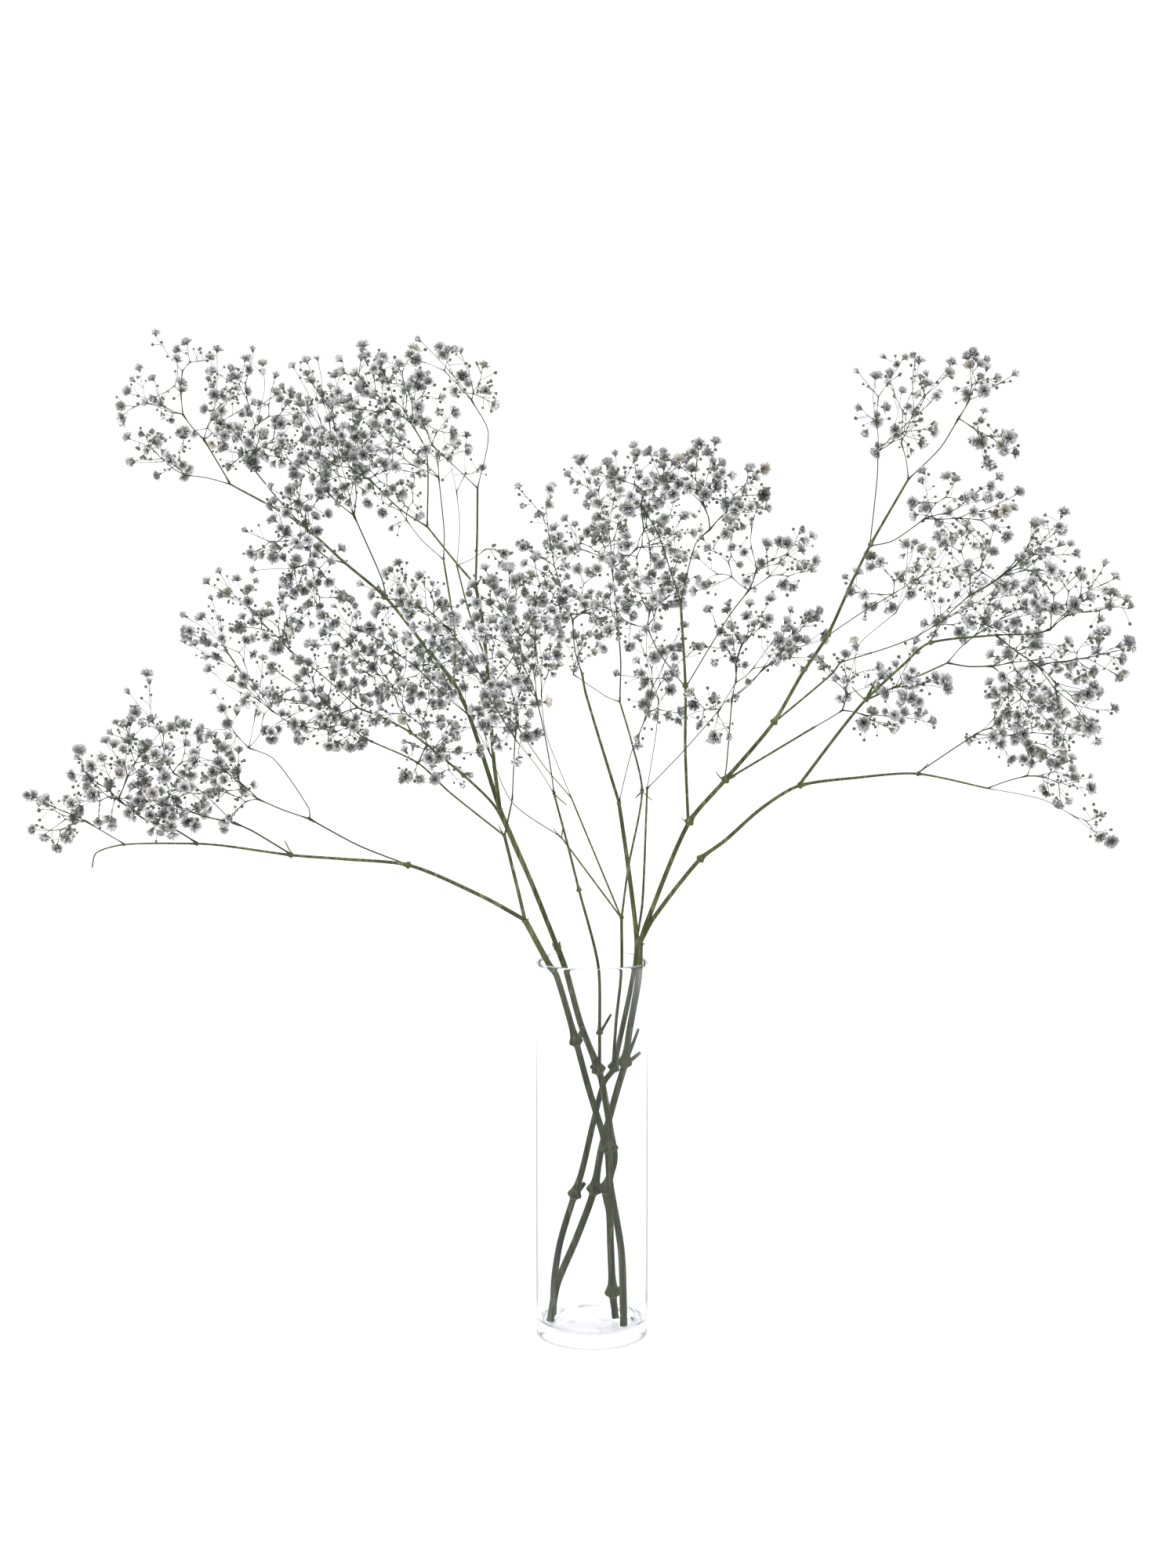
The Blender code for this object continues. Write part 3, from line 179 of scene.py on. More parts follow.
# Sprays: name, thin branches, and the clouds of blooms that these carry. A second branch forks off the first
# at the point that both name. A cloud is the branch that feeds it, its centre, its half-sizes and how many
# blooms it holds.
SPRAYS = (
    ("spray_a1", (
        ((-352, -85, 407), (-371, -95, 421), (-378, -98, 426)),
    ), (
        (0, (-397, -100, 430), (24, 30, 21), 10),
    )),
    ("spray_a2", (
        ((-298, -80, 407), (-316, -88, 420), (-334, -92, 426), (-354, -96, 442)),
    ), (
        (0, (-367, -105, 451), (28, 35, 24), 17),
        (0, (-343, -85, 475), (26, 35, 25), 15),
    )),
    ("spray_a3", (
        ((-228, -70, 397), (-258, -78, 417), (-271, -80, 423), (-293, -88, 429), (-311, -92, 437)),
        ((-271, -80, 423), (-297, -66, 445), (-321, -56, 459)),
    ), (
        (0, (-318, -96, 441), (28, 35, 23), 25),
        (1, (-325, -50, 477), (27, 35, 25), 9),
        (1, (-341, -40, 510), (24, 30, 23), 2),
    )),
    ("spray_a4", (
        ((-141, -45, 386), (-216, -62, 424), (-254, -70, 440)),
        ((-216, -62, 424), (-218, -50, 431), (-248, -30, 468), (-268, -25, 476)),
    ), (
        (0, (-285, -72, 452), (28, 40, 30), 17),
        (1, (-282, -20, 499), (31, 40, 31), 7),
        (1, (-251, 0, 508), (31, 40, 37), 5),
    )),
    ("spray_a5", (
        ((-180, 60, 475), (-197, 68, 485)),
    ), (
        (0, (-214, 72, 495), (36, 40, 32), 30),
        (0, (-238, 82, 523), (33, 40, 33), 12),
    )),
    ("spray_a6", (
        ((-141, 40, 459), (-133, 30, 475)),
    ), (
        (0, (-123, 20, 466), (31, 35, 28), 16),
        (0, (-142, 30, 506), (32, 35, 28), 11),
    )),
    ("spray_a7", (
        ((-63, -10, 434), (-60, -30, 482), (-58, -38, 506)),
    ), (
        (0, (-64, -30, 494), (27, 35, 29), 13),
        (0, (-45, -50, 540), (27, 40, 27), 4),
    )),
    ("spray_b1", (
        ((-198, 110, 501), (-251, 120, 486), (-274, 128, 498)),
        ((-198, 110, 501), (-230, 120, 529), (-257, 125, 549)),
    ), (
        (0, (-305, 135, 528), (34, 40, 34), 7),
        (0, (-330, 135, 565), (28, 35, 28), 9),
        (1, (-280, 128, 575), (33, 40, 33), 16),
        (1, (-303, 125, 598), (30, 35, 20), 4),
    )),
    ("spray_b2", (
        ((-151, 95, 480), (-163, 100, 504), (-168, 103, 520)),
    ), (
        (0, (-188, 105, 536), (33, 40, 33), 19),
        (0, (-225, 112, 562), (33, 40, 33), 8),
        (0, (-155, 110, 536), (30, 40, 33), 8),
    )),
    ("spray_b3", (
        ((-305, 122, 689), (-344, 126, 697)),
        ((-305, 122, 689), (-312, 120, 702), (-326, 118, 726)),
    ), (
        (0, (-367, 126, 717), (30, 30, 21), 10),
        (1, (-371, 112, 755), (30, 35, 30), 10),
        (1, (-341, 105, 793), (36, 35, 25), 5),
        (1, (-318, 130, 750), (34, 35, 32), 13),
    )),
    ("spray_b4", (
        ((-245, 106, 656), (-266, 98, 681), (-286, 92, 707)),
    ), (
        (0, (-294, 85, 723), (26, 30, 26), 8),
        (0, (-281, 80, 774), (29, 35, 25), 7),
        (0, (-262, 95, 734), (30, 35, 30), 13),
    )),
    ("spray_b5", (
        ((-205, 92, 622), (-219, 70, 627), (-230, 60, 639)),
    ), (
        (0, (-238, 50, 667), (27, 35, 24), 18),
        (0, (-230, 45, 623), (27, 35, 27), 20),
        (0, (-261, 55, 636), (19, 30, 27), 5),
        (0, (-223, 50, 588), (31, 35, 24), 7),
    )),
    ("spray_b6", (
        ((-170, 80, 593), (-173, 78, 608), (-194, 62, 660)),
        ((-194, 62, 660), (-213, 52, 677)),
    ), (
        (1, (-233, 42, 707), (27, 35, 27), 14),
        (0, (-199, 52, 727), (32, 35, 32), 16),
        (0, (-220, 42, 757), (29, 35, 29), 12),
    )),
    ("spray_b7", (
        ((-86, -70, 674), (-105, -78, 692), (-119, -82, 705)),
        ((-86, -70, 674), (-77, -85, 714), (-89, -90, 737)),
    ), (
        (0, (-122, -85, 726), (26, 35, 26), 7),
        (1, (-94, -95, 748), (28, 35, 26), 7),
        (1, (-112, -95, 771), (29, 30, 16), 3),
    )),
    ("spray_b8", (
        ((-127, -30, 647), (-127, -32, 703), (-138, -32, 725)),
        ((-127, -30, 647), (-149, -20, 661), (-174, -8, 685)),
    ), (
        (0, (-141, -32, 755), (30, 35, 30), 14),
        (0, (-169, -20, 750), (31, 35, 31), 15),
        (1, (-194, 0, 698), (31, 35, 28), 19),
        (1, (-161, -20, 697), (28, 35, 28), 7),
    )),
    ("spray_b9", (
        ((-126, 130, 626), (-159, 150, 660)),
        ((-126, 130, 626), (-126, 140, 649), (-132, 162, 697)),
    ), (
        (0, (-169, 160, 676), (31, 35, 26), 8),
        (1, (-139, 172, 727), (34, 35, 33), 6),
        (1, (-183, 172, 734), (33, 35, 33), 11),
    )),
    ("spray_b10", (
        ((-109, 40, 619), (-107, 50, 650), (-110, 60, 679)),
        ((-109, 40, 619), (-86, 45, 632)),
    ), (
        (0, (-106, 68, 719), (29, 35, 29), 3),
        (1, (-73, 50, 633), (26, 35, 22), 2),
    )),
    ("spray_b11", (
        ((-29, -70, 444), (-57, -100, 487)),
        ((-29, -70, 444), (-31, -85, 463), (-36, -105, 495), (-41, -120, 519)),
    ), (
        (0, (-69, -112, 519), (28, 40, 28), 7),
        (1, (-37, -130, 542), (26, 40, 26), 3),
        (1, (-60, -140, 565), (28, 40, 25), 13),
    )),
    ("spray_b12", (
        ((-81, -10, 521), (-62, -45, 545), (-54, -62, 563)),
        ((-81, -10, 521), (-95, -52, 549), (-108, -75, 569)),
    ), (
        (0, (-69, -50, 594), (29, 40, 27), 18),
        (0, (-39, -60, 591), (27, 40, 29), 11),
        (1, (-118, -80, 576), (28, 40, 27), 17),
        (1, (-143, -90, 599), (28, 40, 23), 9),
    )),
    ("spray_b13", (
        ((-100, 50, 497), (-122, 20, 519), (-140, 5, 539)),
    ), (
        (0, (-158, 0, 557), (31, 40, 28), 9),
        (0, (-120, -10, 539), (28, 40, 28), 7),
        (0, (-189, 5, 576), (28, 40, 28), 2),
    )),
    ("spray_c1", (
        ((-8, 85, 530), (-14, 90, 549), (-16, 100, 575)),
    ), (
        (0, (-23, 108, 592), (28, 40, 30), 10),
        (0, (-36, 115, 635), (25, 35, 28), 10),
        (0, (-41, 112, 674), (23, 30, 20), 3),
        (0, (10, 95, 588), (32, 40, 32), 12),
    )),
    ("spray_c2", (
        ((22, 40, 427), (32, 30, 469), (44, 18, 499)),
    ), (
        (0, (48, 14, 504), (21, 30, 25), 7),
        (0, (59, 0, 548), (28, 35, 28), 8),
    )),
    ("spray_c3", (
        ((42, -60, 447), (67, -85, 476), (94, -110, 510)),
        ((42, -60, 447), (48, -90, 494), (49, -102, 517)),
    ), (
        (0, (86, -115, 510), (22, 35, 26), 7),
        (0, (113, -130, 551), (24, 35, 23), 4),
        (1, (40, -112, 542), (22, 35, 26), 4),
    )),
    ("spray_c4", (
        ((-25, 60, 396), (-67, 95, 422), (-87, 120, 462)),
    ), (
        (0, (-101, 140, 501), (32, 40, 34), 8),
        (0, (-132, 150, 528), (31, 40, 31), 6),
    )),
    ("spray_c5", (
        ((-17, 70, 428), (-63, 112, 485)),
        ((-17, 70, 428), (-39, 108, 480), (-43, 125, 511)),
    ), (
        (0, (-81, 150, 528), (33, 40, 33), 7),
        (1, (-49, 160, 558), (33, 40, 33), 8),
        (0, (-109, 170, 551), (33, 40, 31), 12),
    )),
    ("spray_c6", (
        ((24, 130, 505), (13, 135, 509), (-16, 150, 528)),
        ((24, 130, 505), (25, 150, 541), (22, 170, 579), (18, 190, 620)),
    ), (
        (1, (0, 200, 644), (33, 40, 33), 19),
        (1, (32, 210, 682), (36, 40, 32), 10),
        (1, (7, 205, 706), (34, 35, 20), 6),
        (1, (67, 215, 652), (34, 40, 34), 15),
        (0, (-24, 170, 561), (31, 40, 31), 7),
    )),
    ("spray_d1", (
        ((65, -105, 589), (58, -115, 608), (48, -125, 637), (35, -130, 658)),
        ((65, -105, 589), (75, -120, 631), (85, -125, 641)),
    ), (
        (0, (17, -130, 669), (27, 40, 24), 7),
        (0, (47, -150, 679), (27, 40, 24), 8),
        (1, (68, -165, 683), (27, 40, 23), 13),
        (1, (107, -135, 666), (27, 40, 26), 10),
        (0, (34, -125, 624), (27, 40, 24), 10),
    )),
    ("spray_d2", (
        ((70, -80, 525), (104, -62, 579), (119, -56, 598)),
        ((70, -80, 525), (50, -60, 552), (42, -50, 570)),
    ), (
        (0, (122, -50, 635), (29, 40, 29), 10),
        (0, (150, -40, 624), (24, 35, 24), 6),
        (0, (97, -30, 618), (27, 40, 27), 4),
        (1, (24, -40, 576), (29, 40, 27), 10),
        (1, (51, -50, 600), (29, 40, 27), 17),
    )),
    ("spray_d3", (
        ((102, -40, 451), (104, -36, 461), (110, -10, 514)),
    ), (
        (0, (110, 20, 563), (28, 35, 25), 8),
        (0, (137, 10, 569), (26, 35, 25), 8),
        (0, (166, 20, 563), (24, 35, 21), 10),
    )),
    ("spray_d4", (
        ((167, -70, 494), (193, -40, 506)),
    ), (
        (0, (233, -40, 494), (29, 30, 18), 7),
        (0, (203, -30, 539), (26, 35, 24), 10),
    )),
    ("spray_d5", (
        ((213, -38, 632), (221, -18, 687), (222, -12, 706)),
    ), (
        (0, (229, -5, 752), (26, 35, 30), 7),
        (0, (241, -10, 724), (25, 35, 23), 7),
    )),
    ("spray_d6", (
        ((213, -38, 632), (226, -72, 635), (245, -98, 650)),
    ), (
        (0, (255, -105, 662), (28, 40, 24), 9),
        (0, (285, -115, 656), (26, 40, 28), 8),
    )),
    ("spray_d7", (
        ((240, -50, 682), (234, -52, 709)),
        ((240, -50, 682), (263, -55, 705), (276, -58, 727)),
    ), (
        (0, (250, -60, 758), (29, 35, 20), 8),
        (1, (290, -62, 752), (25, 35, 25), 8),
        (1, (301, -66, 711), (19, 30, 25), 7),
    )),
    ("spray_d8", (
        ((180, -45, 563), (211, -10, 581), (241, 25, 596)),
    ), (
        (0, (250, 40, 616), (31, 40, 27), 6),
        (0, (298, 62, 630), (31, 40, 29), 5),
        (0, (224, 15, 600), (25, 35, 24), 4),
    )),
    ("spray_d9", (
        ((196, 0, 542), (236, 20, 553), (261, 28, 562)),
        ((196, 0, 542), (247, 50, 581)),
    ), (
        (0, (295, 60, 585), (31, 40, 24), 8),
        (0, (337, 95, 611), (32, 40, 30), 10),
        (1, (279, 100, 615), (30, 40, 26), 6),
    )),
    ("spray_d10", (
        ((244, -130, 559), (268, -160, 594)),
    ), (
        (0, (289, -170, 623), (27, 40, 27), 6),
        (0, (315, -180, 628), (21, 35, 25), 8),
        (0, (262, -165, 620), (22, 35, 22), 4),
    )),
    ("spray_d11", (
        ((290, -140, 565), (318, -142, 566), (329, -142, 569)),
        ((290, -140, 565), (319, -150, 543)),
    ), (
        (0, (363, -145, 592), (25, 35, 23), 9),
        (0, (332, -150, 596), (22, 35, 22), 10),
        (1, (361, -152, 548), (24, 35, 27), 13),
        (1, (346, -158, 509), (25, 35, 25), 11),
    )),
    ("spray_d12", (
        ((270, -60, 543), (308, -40, 540)),
        ((270, -60, 543), (294, -45, 564)),
    ), (
        (0, (340, -30, 546), (29, 40, 27), 18),
        (1, (319, -40, 579), (29, 40, 27), 15),
        (0, (339, -25, 512), (27, 35, 24), 10),
    )),
    ("spray_d13", (
        ((203, -95, 516), (218, -100, 524)),
    ), (
        (0, (239, -110, 530), (24, 35, 22), 10),
    )),
    ("spray_d14", (
        ((255, -16, 455), (287, 5, 473), (308, 20, 484)),
    ), (
        (0, (349, 55, 515), (29, 40, 29), 11),
        (0, (377, 60, 482), (29, 40, 29), 10),
        (0, (329, 30, 478), (24, 35, 24), 5),
    )),
    ("spray_d15", (
        ((312, -10, 443), (356, -10, 434), (382, -10, 420)),
        ((312, -10, 443), (345, 0, 452)),
    ), (
        (1, (380, 4, 445), (30, 35, 17), 7),
        (0, (400, -12, 408), (16, 30, 23), 3),
        (1, (361, 15, 472), (25, 35, 24), 7),
    )),
)


# Shader maths


class Wire:
    """A socket that Python's operators work on, each by adding one Math node."""

    def __init__(self, tree, socket):
        self.tree, self.socket = tree, socket

    def join(self, operation, *values):
        node = self.tree.add("ShaderNodeMath", {"operation": operation}, dict(enumerate(values)))
        return Wire(self.tree, node.outputs[0])

    def __add__(self, other):
        return self.join("ADD", self, other)

    def __radd__(self, other):
        return self.join("ADD", other, self)

    def __sub__(self, other):
        return self.join("SUBTRACT", self, other)

    def __rsub__(self, other):
        return self.join("SUBTRACT", other, self)

    def __mul__(self, other):
        return self.join("MULTIPLY", self, other)

    def __rmul__(self, other):
        return self.join("MULTIPLY", other, self)

    def __pow__(self, other):
        return self.join("POWER", self, other)

    def absolute(self):
        return self.join("ABSOLUTE", self)

    def wave(self, count):
        """That many waves as the value goes from 0 to 1, each from 0 to 1."""
        turned = self * (2 * math.pi * count)
        return turned.join("SINE", turned) * 0.5 + 0.5

    def limited(self):
        kept = self.join("ADD", self, 0.0)
        kept.socket.node.use_clamp = True
        return kept


class Nodes:
    """The nodes of a material or of the world."""

    def __init__(self, tree):
        self.nodes, self.links = tree.nodes, tree.links

    def add(self, kind, settings=None, inputs=None):
        """One node: its settings first, then the values or links of its sockets."""
        node = self.nodes.new(kind)
        for key, value in (settings or {}).items():
            if key == "ramp":
                ramp = node.color_ramp
                while len(ramp.elements) < len(value):
                    ramp.elements.new(0.5)
                for element, (place, colour) in zip(ramp.elements, value):
                    element.position = place
                    element.color = (*colour[:3], 1.0)
            else:
                setattr(node, key, value)
        for key, value in (inputs or {}).items():
            self.put(node.inputs[key], value)
        return node

    def put(self, socket, value):
        if isinstance(value, Wire):
            self.links.new(value.socket, socket)
        elif isinstance(value, bpy.types.NodeSocket):
            self.links.new(value, socket)
        else:
            socket.default_value = value

    def parts(self, vector):
        """A vector's X, Y and Z as values."""
        outputs = self.add("ShaderNodeSeparateXYZ", None, {0: vector}).outputs
        return [Wire(self, outputs[axis]) for axis in "XYZ"]


class Finish(Nodes):
    """A material's nodes, round one Principled shader."""

    def __init__(self, name, colour):
        self.made = bpy.data.materials.new(name)
        self.made.use_nodes = True
        self.made.diffuse_color = rgba(colour)
        super().__init__(self.made.node_tree)
        self.shader = self.nodes["Principled BSDF"]

    def set(self, **sockets):
        for key, value in sockets.items():
            self.put(self.shader.inputs[key.replace("_", " ")], value)

    def place(self):
        return self.add("ShaderNodeTexCoord").outputs["Object"]

    def attribute(self, name):
        node = self.add("ShaderNodeAttribute", {"attribute_name": name})
        return Wire(self, node.outputs["Fac"])

    def own_map(self):
        return self.add("ShaderNodeUVMap", {"uv_map": "UVMap"}).outputs["UV"]

    def stretched(self, scale):
        mapping = self.add("ShaderNodeMapping", None, {"Vector": self.place(), "Scale": scale})
        return mapping.outputs["Vector"]

    def noise(self, scale, detail=4.0, where=None):
        inputs = {"Vector": where or self.place(), "Scale": scale, "Detail": detail}
        return Wire(self, self.add("ShaderNodeTexNoise", None, inputs).outputs["Fac"])

    def mix(self, share, one, two):
        settings = {"data_type": "RGBA", "blend_type": "MIX"}
        node = self.add("ShaderNodeMix", settings, {0: share, 6: one, 7: two})
        return node.outputs[2]

    def times(self, colour, share):
        """A colour made darker or lighter by a value."""
        node = self.add("ShaderNodeVectorMath", {"operation": "SCALE"}, {0: colour, "Scale": share})
        return node.outputs[0]

    def spread(self, value, low, high):
        """The value's reach from low to high, as 0 to 1."""
        inputs = {"Value": value, "From Min": low, "From Max": high}
        node = self.add("ShaderNodeMapRange", {"clamp": True}, inputs)
        return Wire(self, node.outputs["Result"])

    def bump(self, height, strength, distance):
        inputs = {"Height": height, "Strength": strength, "Distance": distance}
        return self.add("ShaderNodeBump", None, inputs).outputs["Normal"]


def rgba(colour):
    return (*colour[:3], 1.0)


GLASS_IOR = 1.45
# What the glass mirrors face on is held down, so that it doesn't veil the stems
FACE_ON_GLEAM = (0.35, 0.35, 0.42, 1.0)
# Heights in metres: where the painted reflections low in the glass end and are fullest, and where the
# painted reflection lines along the edges of the wall have gone and are full again
LOW_REFLECTIONS = (0.085, 0.015)
EDGE_REFLECTIONS = (0.3, 0.2)


def clear_glass(sizes):
    """Clear glass with soft ripples, stronger near the base, and lavender painted reflections where seen edge
    on.
    """
    finish = Finish("clear_glass", sizes.tint)
    wide, deep, height = finish.parts(finish.place())
    out = (wide * wide + deep * deep) ** 0.5
    edge = Wire(finish, finish.add("ShaderNodeLayerWeight", None, {"Blend": 0.5}).outputs["Facing"])
    low = finish.spread(height, *LOW_REFLECTIONS)
    ripple = finish.noise(28.0, 2.0, finish.stretched((1.0, 1.0, 0.22)))
    streak = finish.noise(55.0, 3.0, finish.stretched((1.0, 1.0, 2.2)))
    smudge = finish.spread(finish.noise(60.0, 5.0), 0.52, 0.8)
    # Painted reflections: dark lavender streaks where the glass low in the wall is seen edge on
    marks = finish.spread(edge, 0.35, 0.8) * finish.spread(streak, 0.5, 0.62) * low
    skin = finish.mix(marks, rgba(sizes.tint), rgba(sizes.low_reflection_tint))
    finish.set(Base_Color=skin, Transmission_Weight=1.0, IOR=GLASS_IOR, Specular_Tint=FACE_ON_GLEAM)
    finish.set(Roughness=0.015 * smudge)
    finish.set(Normal=finish.bump(ripple * (1.0 + 5.0 * low), 0.04, 0.001))
    # The wall, the rim and the heel let light straight through where they are seen edge on, a little darker;
    # along the wall's edges and round the heel that darkening is lavender, painted reflections of the stage's
    # sides
    wall = finish.spread(height, sizes.base + 0.004, sizes.base + 0.02) * finish.spread(height, *EDGE_REFLECTIONS)
    wall = wall * finish.spread(out, sizes.radius - 0.002, sizes.radius - 0.001)
    rim = finish.spread(height, sizes.height - 0.004, sizes.height - 0.002)
    heel = finish.spread(height, sizes.heel * 0.6, 0.0)
    heel = heel * finish.spread(out, sizes.radius - sizes.heel * 1.1, sizes.radius - sizes.heel)
    share = finish.spread(edge, 0.68, 0.88) * wall + finish.spread(edge, 0.3, 0.55) * rim * 0.85
    share = share + finish.spread(edge, 0.45, 0.9) * heel * 0.75
    line, bright = (
        finish.add("ShaderNodeBsdfTransparent", None, {"Color": rgba(tint)}).outputs[0]
        for tint in (sizes.edge_reflection_tint, sizes.rim_tint)
    )
    side = finish.add("ShaderNodeMixShader", None, {0: rim, 1: line, 2: bright}).outputs[0]
    both = finish.add("ShaderNodeMixShader", None, {0: share, 1: finish.shader.outputs[0], 2: side})
    finish.links.new(both.outputs[0], finish.nodes["Material Output"].inputs["Surface"])
    return finish.made


def stem_bark(colours):
    """Green skin with long pale streaks, partly painted highlights, yellower where dry and brown at the
    knuckles.
    """
    finish = Finish("stem_bark", colours.stem)
    streak = finish.noise(440.0, 4.0, finish.stretched((1.0, 1.0, 0.035)))
    blotch = finish.noise(36.0, 4.0, finish.stretched((1.0, 1.0, 0.35)))
    fleck = finish.spread(finish.noise(420.0, 2.0, finish.stretched((1.0, 1.0, 0.3))), 0.66, 0.74)
    knuckle = finish.attribute("knuckle")
    dry = finish.noise(210.0, 4.0)
    skin = finish.mix(finish.spread(blotch, 0.35, 0.68), rgba(colours.stem), rgba(colours.stem_light))
    # The pale streaks are partly the ribs' own paler skin and partly painted highlights along them
    skin = finish.mix(finish.spread(streak, 0.54, 0.66) * 0.6, skin, rgba(colours.stem_streak))
    # Painted shade: the skin is darker where the streak noise is low, in the grooves that the bump sinks
    # between ribs
    skin = finish.times(skin, 0.62 + 0.38 * finish.spread(streak, 0.4, 0.54))
    skin = finish.mix((knuckle * (0.1 + 1.3 * dry)).limited(), skin, rgba(colours.knuckle))
    skin = finish.mix(fleck * 0.3, skin, rgba(colours.stem_streak))
    skin = finish.mix(finish.attribute("ring") * 0.75, skin, rgba(colours.stem_streak))
    # Painted shade: the skin is darker below the vase's rim, where the stems stand inside the glass
    height = finish.parts(finish.place())[2]
    skin = finish.times(skin, 0.66 + 0.15 * finish.spread(height + 0.02 * blotch, 0.29, 0.36))
    finish.set(Base_Color=skin, Roughness=0.42 + 0.3 * dry, Specular_IOR_Level=0.25)
    finish.set(Normal=finish.bump(streak * 0.6 + dry * 0.4, 0.5, 0.0004))
    return finish.made


def cut_end(colours):
    """Pale pith, a darker ring near the skin."""
    finish = Finish("cut_end", colours.knuckle)
    pith = finish.noise(900.0, 3.0)
    tone = finish.mix(pith, rgba(colours.stem_streak), (0.34, 0.33, 0.2, 1.0))
    finish.set(Base_Color=tone, Roughness=0.85, Normal=finish.bump(pith, 0.5, 0.0003))
    return finish.made


def twig_skin(colours):
    finish = Finish("twig_skin", colours.twig)
    blotch = finish.noise(70.0, 3.0)
    grain = finish.noise(600.0, 2.0, finish.stretched((1.0, 1.0, 0.3)))
    skin = finish.mix(finish.spread(blotch, 0.36, 0.66), rgba(colours.twig), rgba(colours.twig_light))
    skin = finish.mix(finish.spread(grain, 0.55, 0.8) * 0.4, skin, rgba(colours.stem_light))
    finish.set(Base_Color=skin, Roughness=0.5 + 0.25 * grain, Normal=finish.bump(grain, 0.4, 0.0002))
    finish.set(Specular_IOR_Level=0.2)
    return finish.made


def leaf_skin(colours):
    """Green blade, with fine ribs along it and a paler midrib."""
    finish = Finish("leaf_skin", colours.leaf)
    across, along, _ = finish.parts(finish.own_map())
    rib = finish.spread((across - 0.5).absolute(), 0.0, 0.07)
    inputs = {"Vector": finish.own_map(), "Scale": 5.0, "Distortion": 1.0}
    ribs = Wire(finish, finish.add("ShaderNodeTexWave", {"bands_direction": "X"}, inputs).outputs["Fac"])
    blotch = finish.noise(120.0, 4.0)
    skin = finish.mix(finish.spread(blotch, 0.35, 0.7), rgba(colours.leaf), rgba(colours.stem_light))
    skin = finish.mix((1.0 - rib) * 0.5, skin, rgba(colours.stem_streak))
    skin = finish.mix(finish.spread(along, 0.8, 1.0) * 0.6, skin, rgba(colours.knuckle))
    finish.set(Base_Color=skin, Roughness=0.5 + 0.2 * blotch)
    finish.set(Normal=finish.bump(ribs * 0.5 + rib * 0.5, 0.4, 0.0003))
    return finish.made


def bud_skin(colours):
    """Grey-green calyx, veined, with the first white of the petals at the tip of a bud."""
    finish = Finish("bud_skin", colours.bud)
    across, along, _ = finish.parts(finish.own_map())
    vein = across.wave(5)
    blotch = finish.noise(220.0, 3.0)
    own = finish.attribute("shade")
    skin = finish.mix(finish.spread(blotch, 0.3, 0.7), rgba(colours.bud), rgba(colours.bud_light))
    skin = finish.mix(vein * 0.25, skin, rgba(colours.twig))
    tip = finish.spread(along + 0.15 * blotch, 0.82, 1.0) * own
    skin = finish.mix(tip, skin, rgba(colours.petal))
    finish.set(Base_Color=skin, Roughness=0.6, Normal=finish.bump(vein * 0.5 + blotch * 0.5, 0.4, 0.0002))
    return finish.made


def petal_skin(colours):
    """White-grey petals with fine veins: painted shade darkens their feet, painted highlights pale their
    tips.
    """
    finish = Finish("petal_skin", colours.petal)
    across, along, _ = finish.parts(finish.own_map())
    shade, warm = finish.attribute("shade"), finish.attribute("warm")
    vein = across.wave(6)
    fleck = finish.noise(480.0, 3.0)
    out = (along + 0.3 * (fleck - 0.5)).limited()
    # Painted shade: the petals go near black at their feet, deep in the bloom
    skin = finish.mix(finish.spread(out, 0.1, 0.62), rgba(colours.throat_shade), rgba(colours.petal))
    # Painted highlights: the petals go near white towards their tips
    skin = finish.mix(finish.spread(out, 0.55, 1.0), skin, rgba(colours.petal_tip_highlight))
    skin = finish.mix(warm, skin, rgba(colours.cream))
    # The shade holds each bloom's and petal's own random tone and the painted shade of the inner rings
    dark = shade * (0.87 + 0.13 * vein) * (0.85 + 0.3 * fleck)
    skin = finish.times(skin, dark)
    finish.set(Base_Color=skin, Roughness=0.72, Specular_IOR_Level=0.25, Sheen_Weight=0.15)
    finish.set(Normal=finish.bump(vein * 0.6 + fleck * 0.4, 0.5, 0.0002))
    return finish.made


# Modelling by hand


def deselect():
    if bpy.context.mode != "OBJECT":
        bpy.ops.object.mode_set(mode="OBJECT")
    for thing in bpy.context.selected_objects:
        thing.select_set(False)


def only(piece):
    """Makes one piece the whole selection."""
    deselect()
    bpy.context.view_layer.objects.active = piece
    piece.select_set(True)


def pick(test, kind="verts"):
    """Selects the points, edges or faces of the mesh in edit mode that pass the test, and no others."""
    mesh = bmesh.from_edit_mesh(bpy.context.edit_object.data)
    mode = {"verts": (True, False, False), "edges": (False, True, False), "faces": (False, False, True)}
    bpy.context.tool_settings.mesh_select_mode = mode[kind]
    mesh.select_mode = {{"verts": "VERT", "edges": "EDGE", "faces": "FACE"}[kind]}
    for group in (mesh.verts, mesh.edges, mesh.faces):
        for part in group:
            part.select = False
    for part in getattr(mesh, kind):
        if test(part):
            part.select_set(True)
    mesh.select_flush_mode()
    bmesh.update_edit_mesh(bpy.context.edit_object.data)


def start_mesh(name):
    """An empty mesh object, in edit mode."""
    deselect()
    made = bpy.data.objects.new(name, bpy.data.meshes.new(name))
    made.data.uv_layers.new(name="UVMap")
    bpy.context.scene.collection.objects.link(made)
    only(made)
    bpy.ops.object.mode_set(mode="EDIT")
    return made


def radius_of(part):
    """How far an edge or a face reaches from the vase's axis."""
    return max(math.hypot(*point.co.xy) for point in part.verts)


def level(part, height):
    """Whether an edge or a face lies at a height."""
    return all(abs(point.co.z - height) < SLACK for point in part.verts)


SLACK = 1e-5


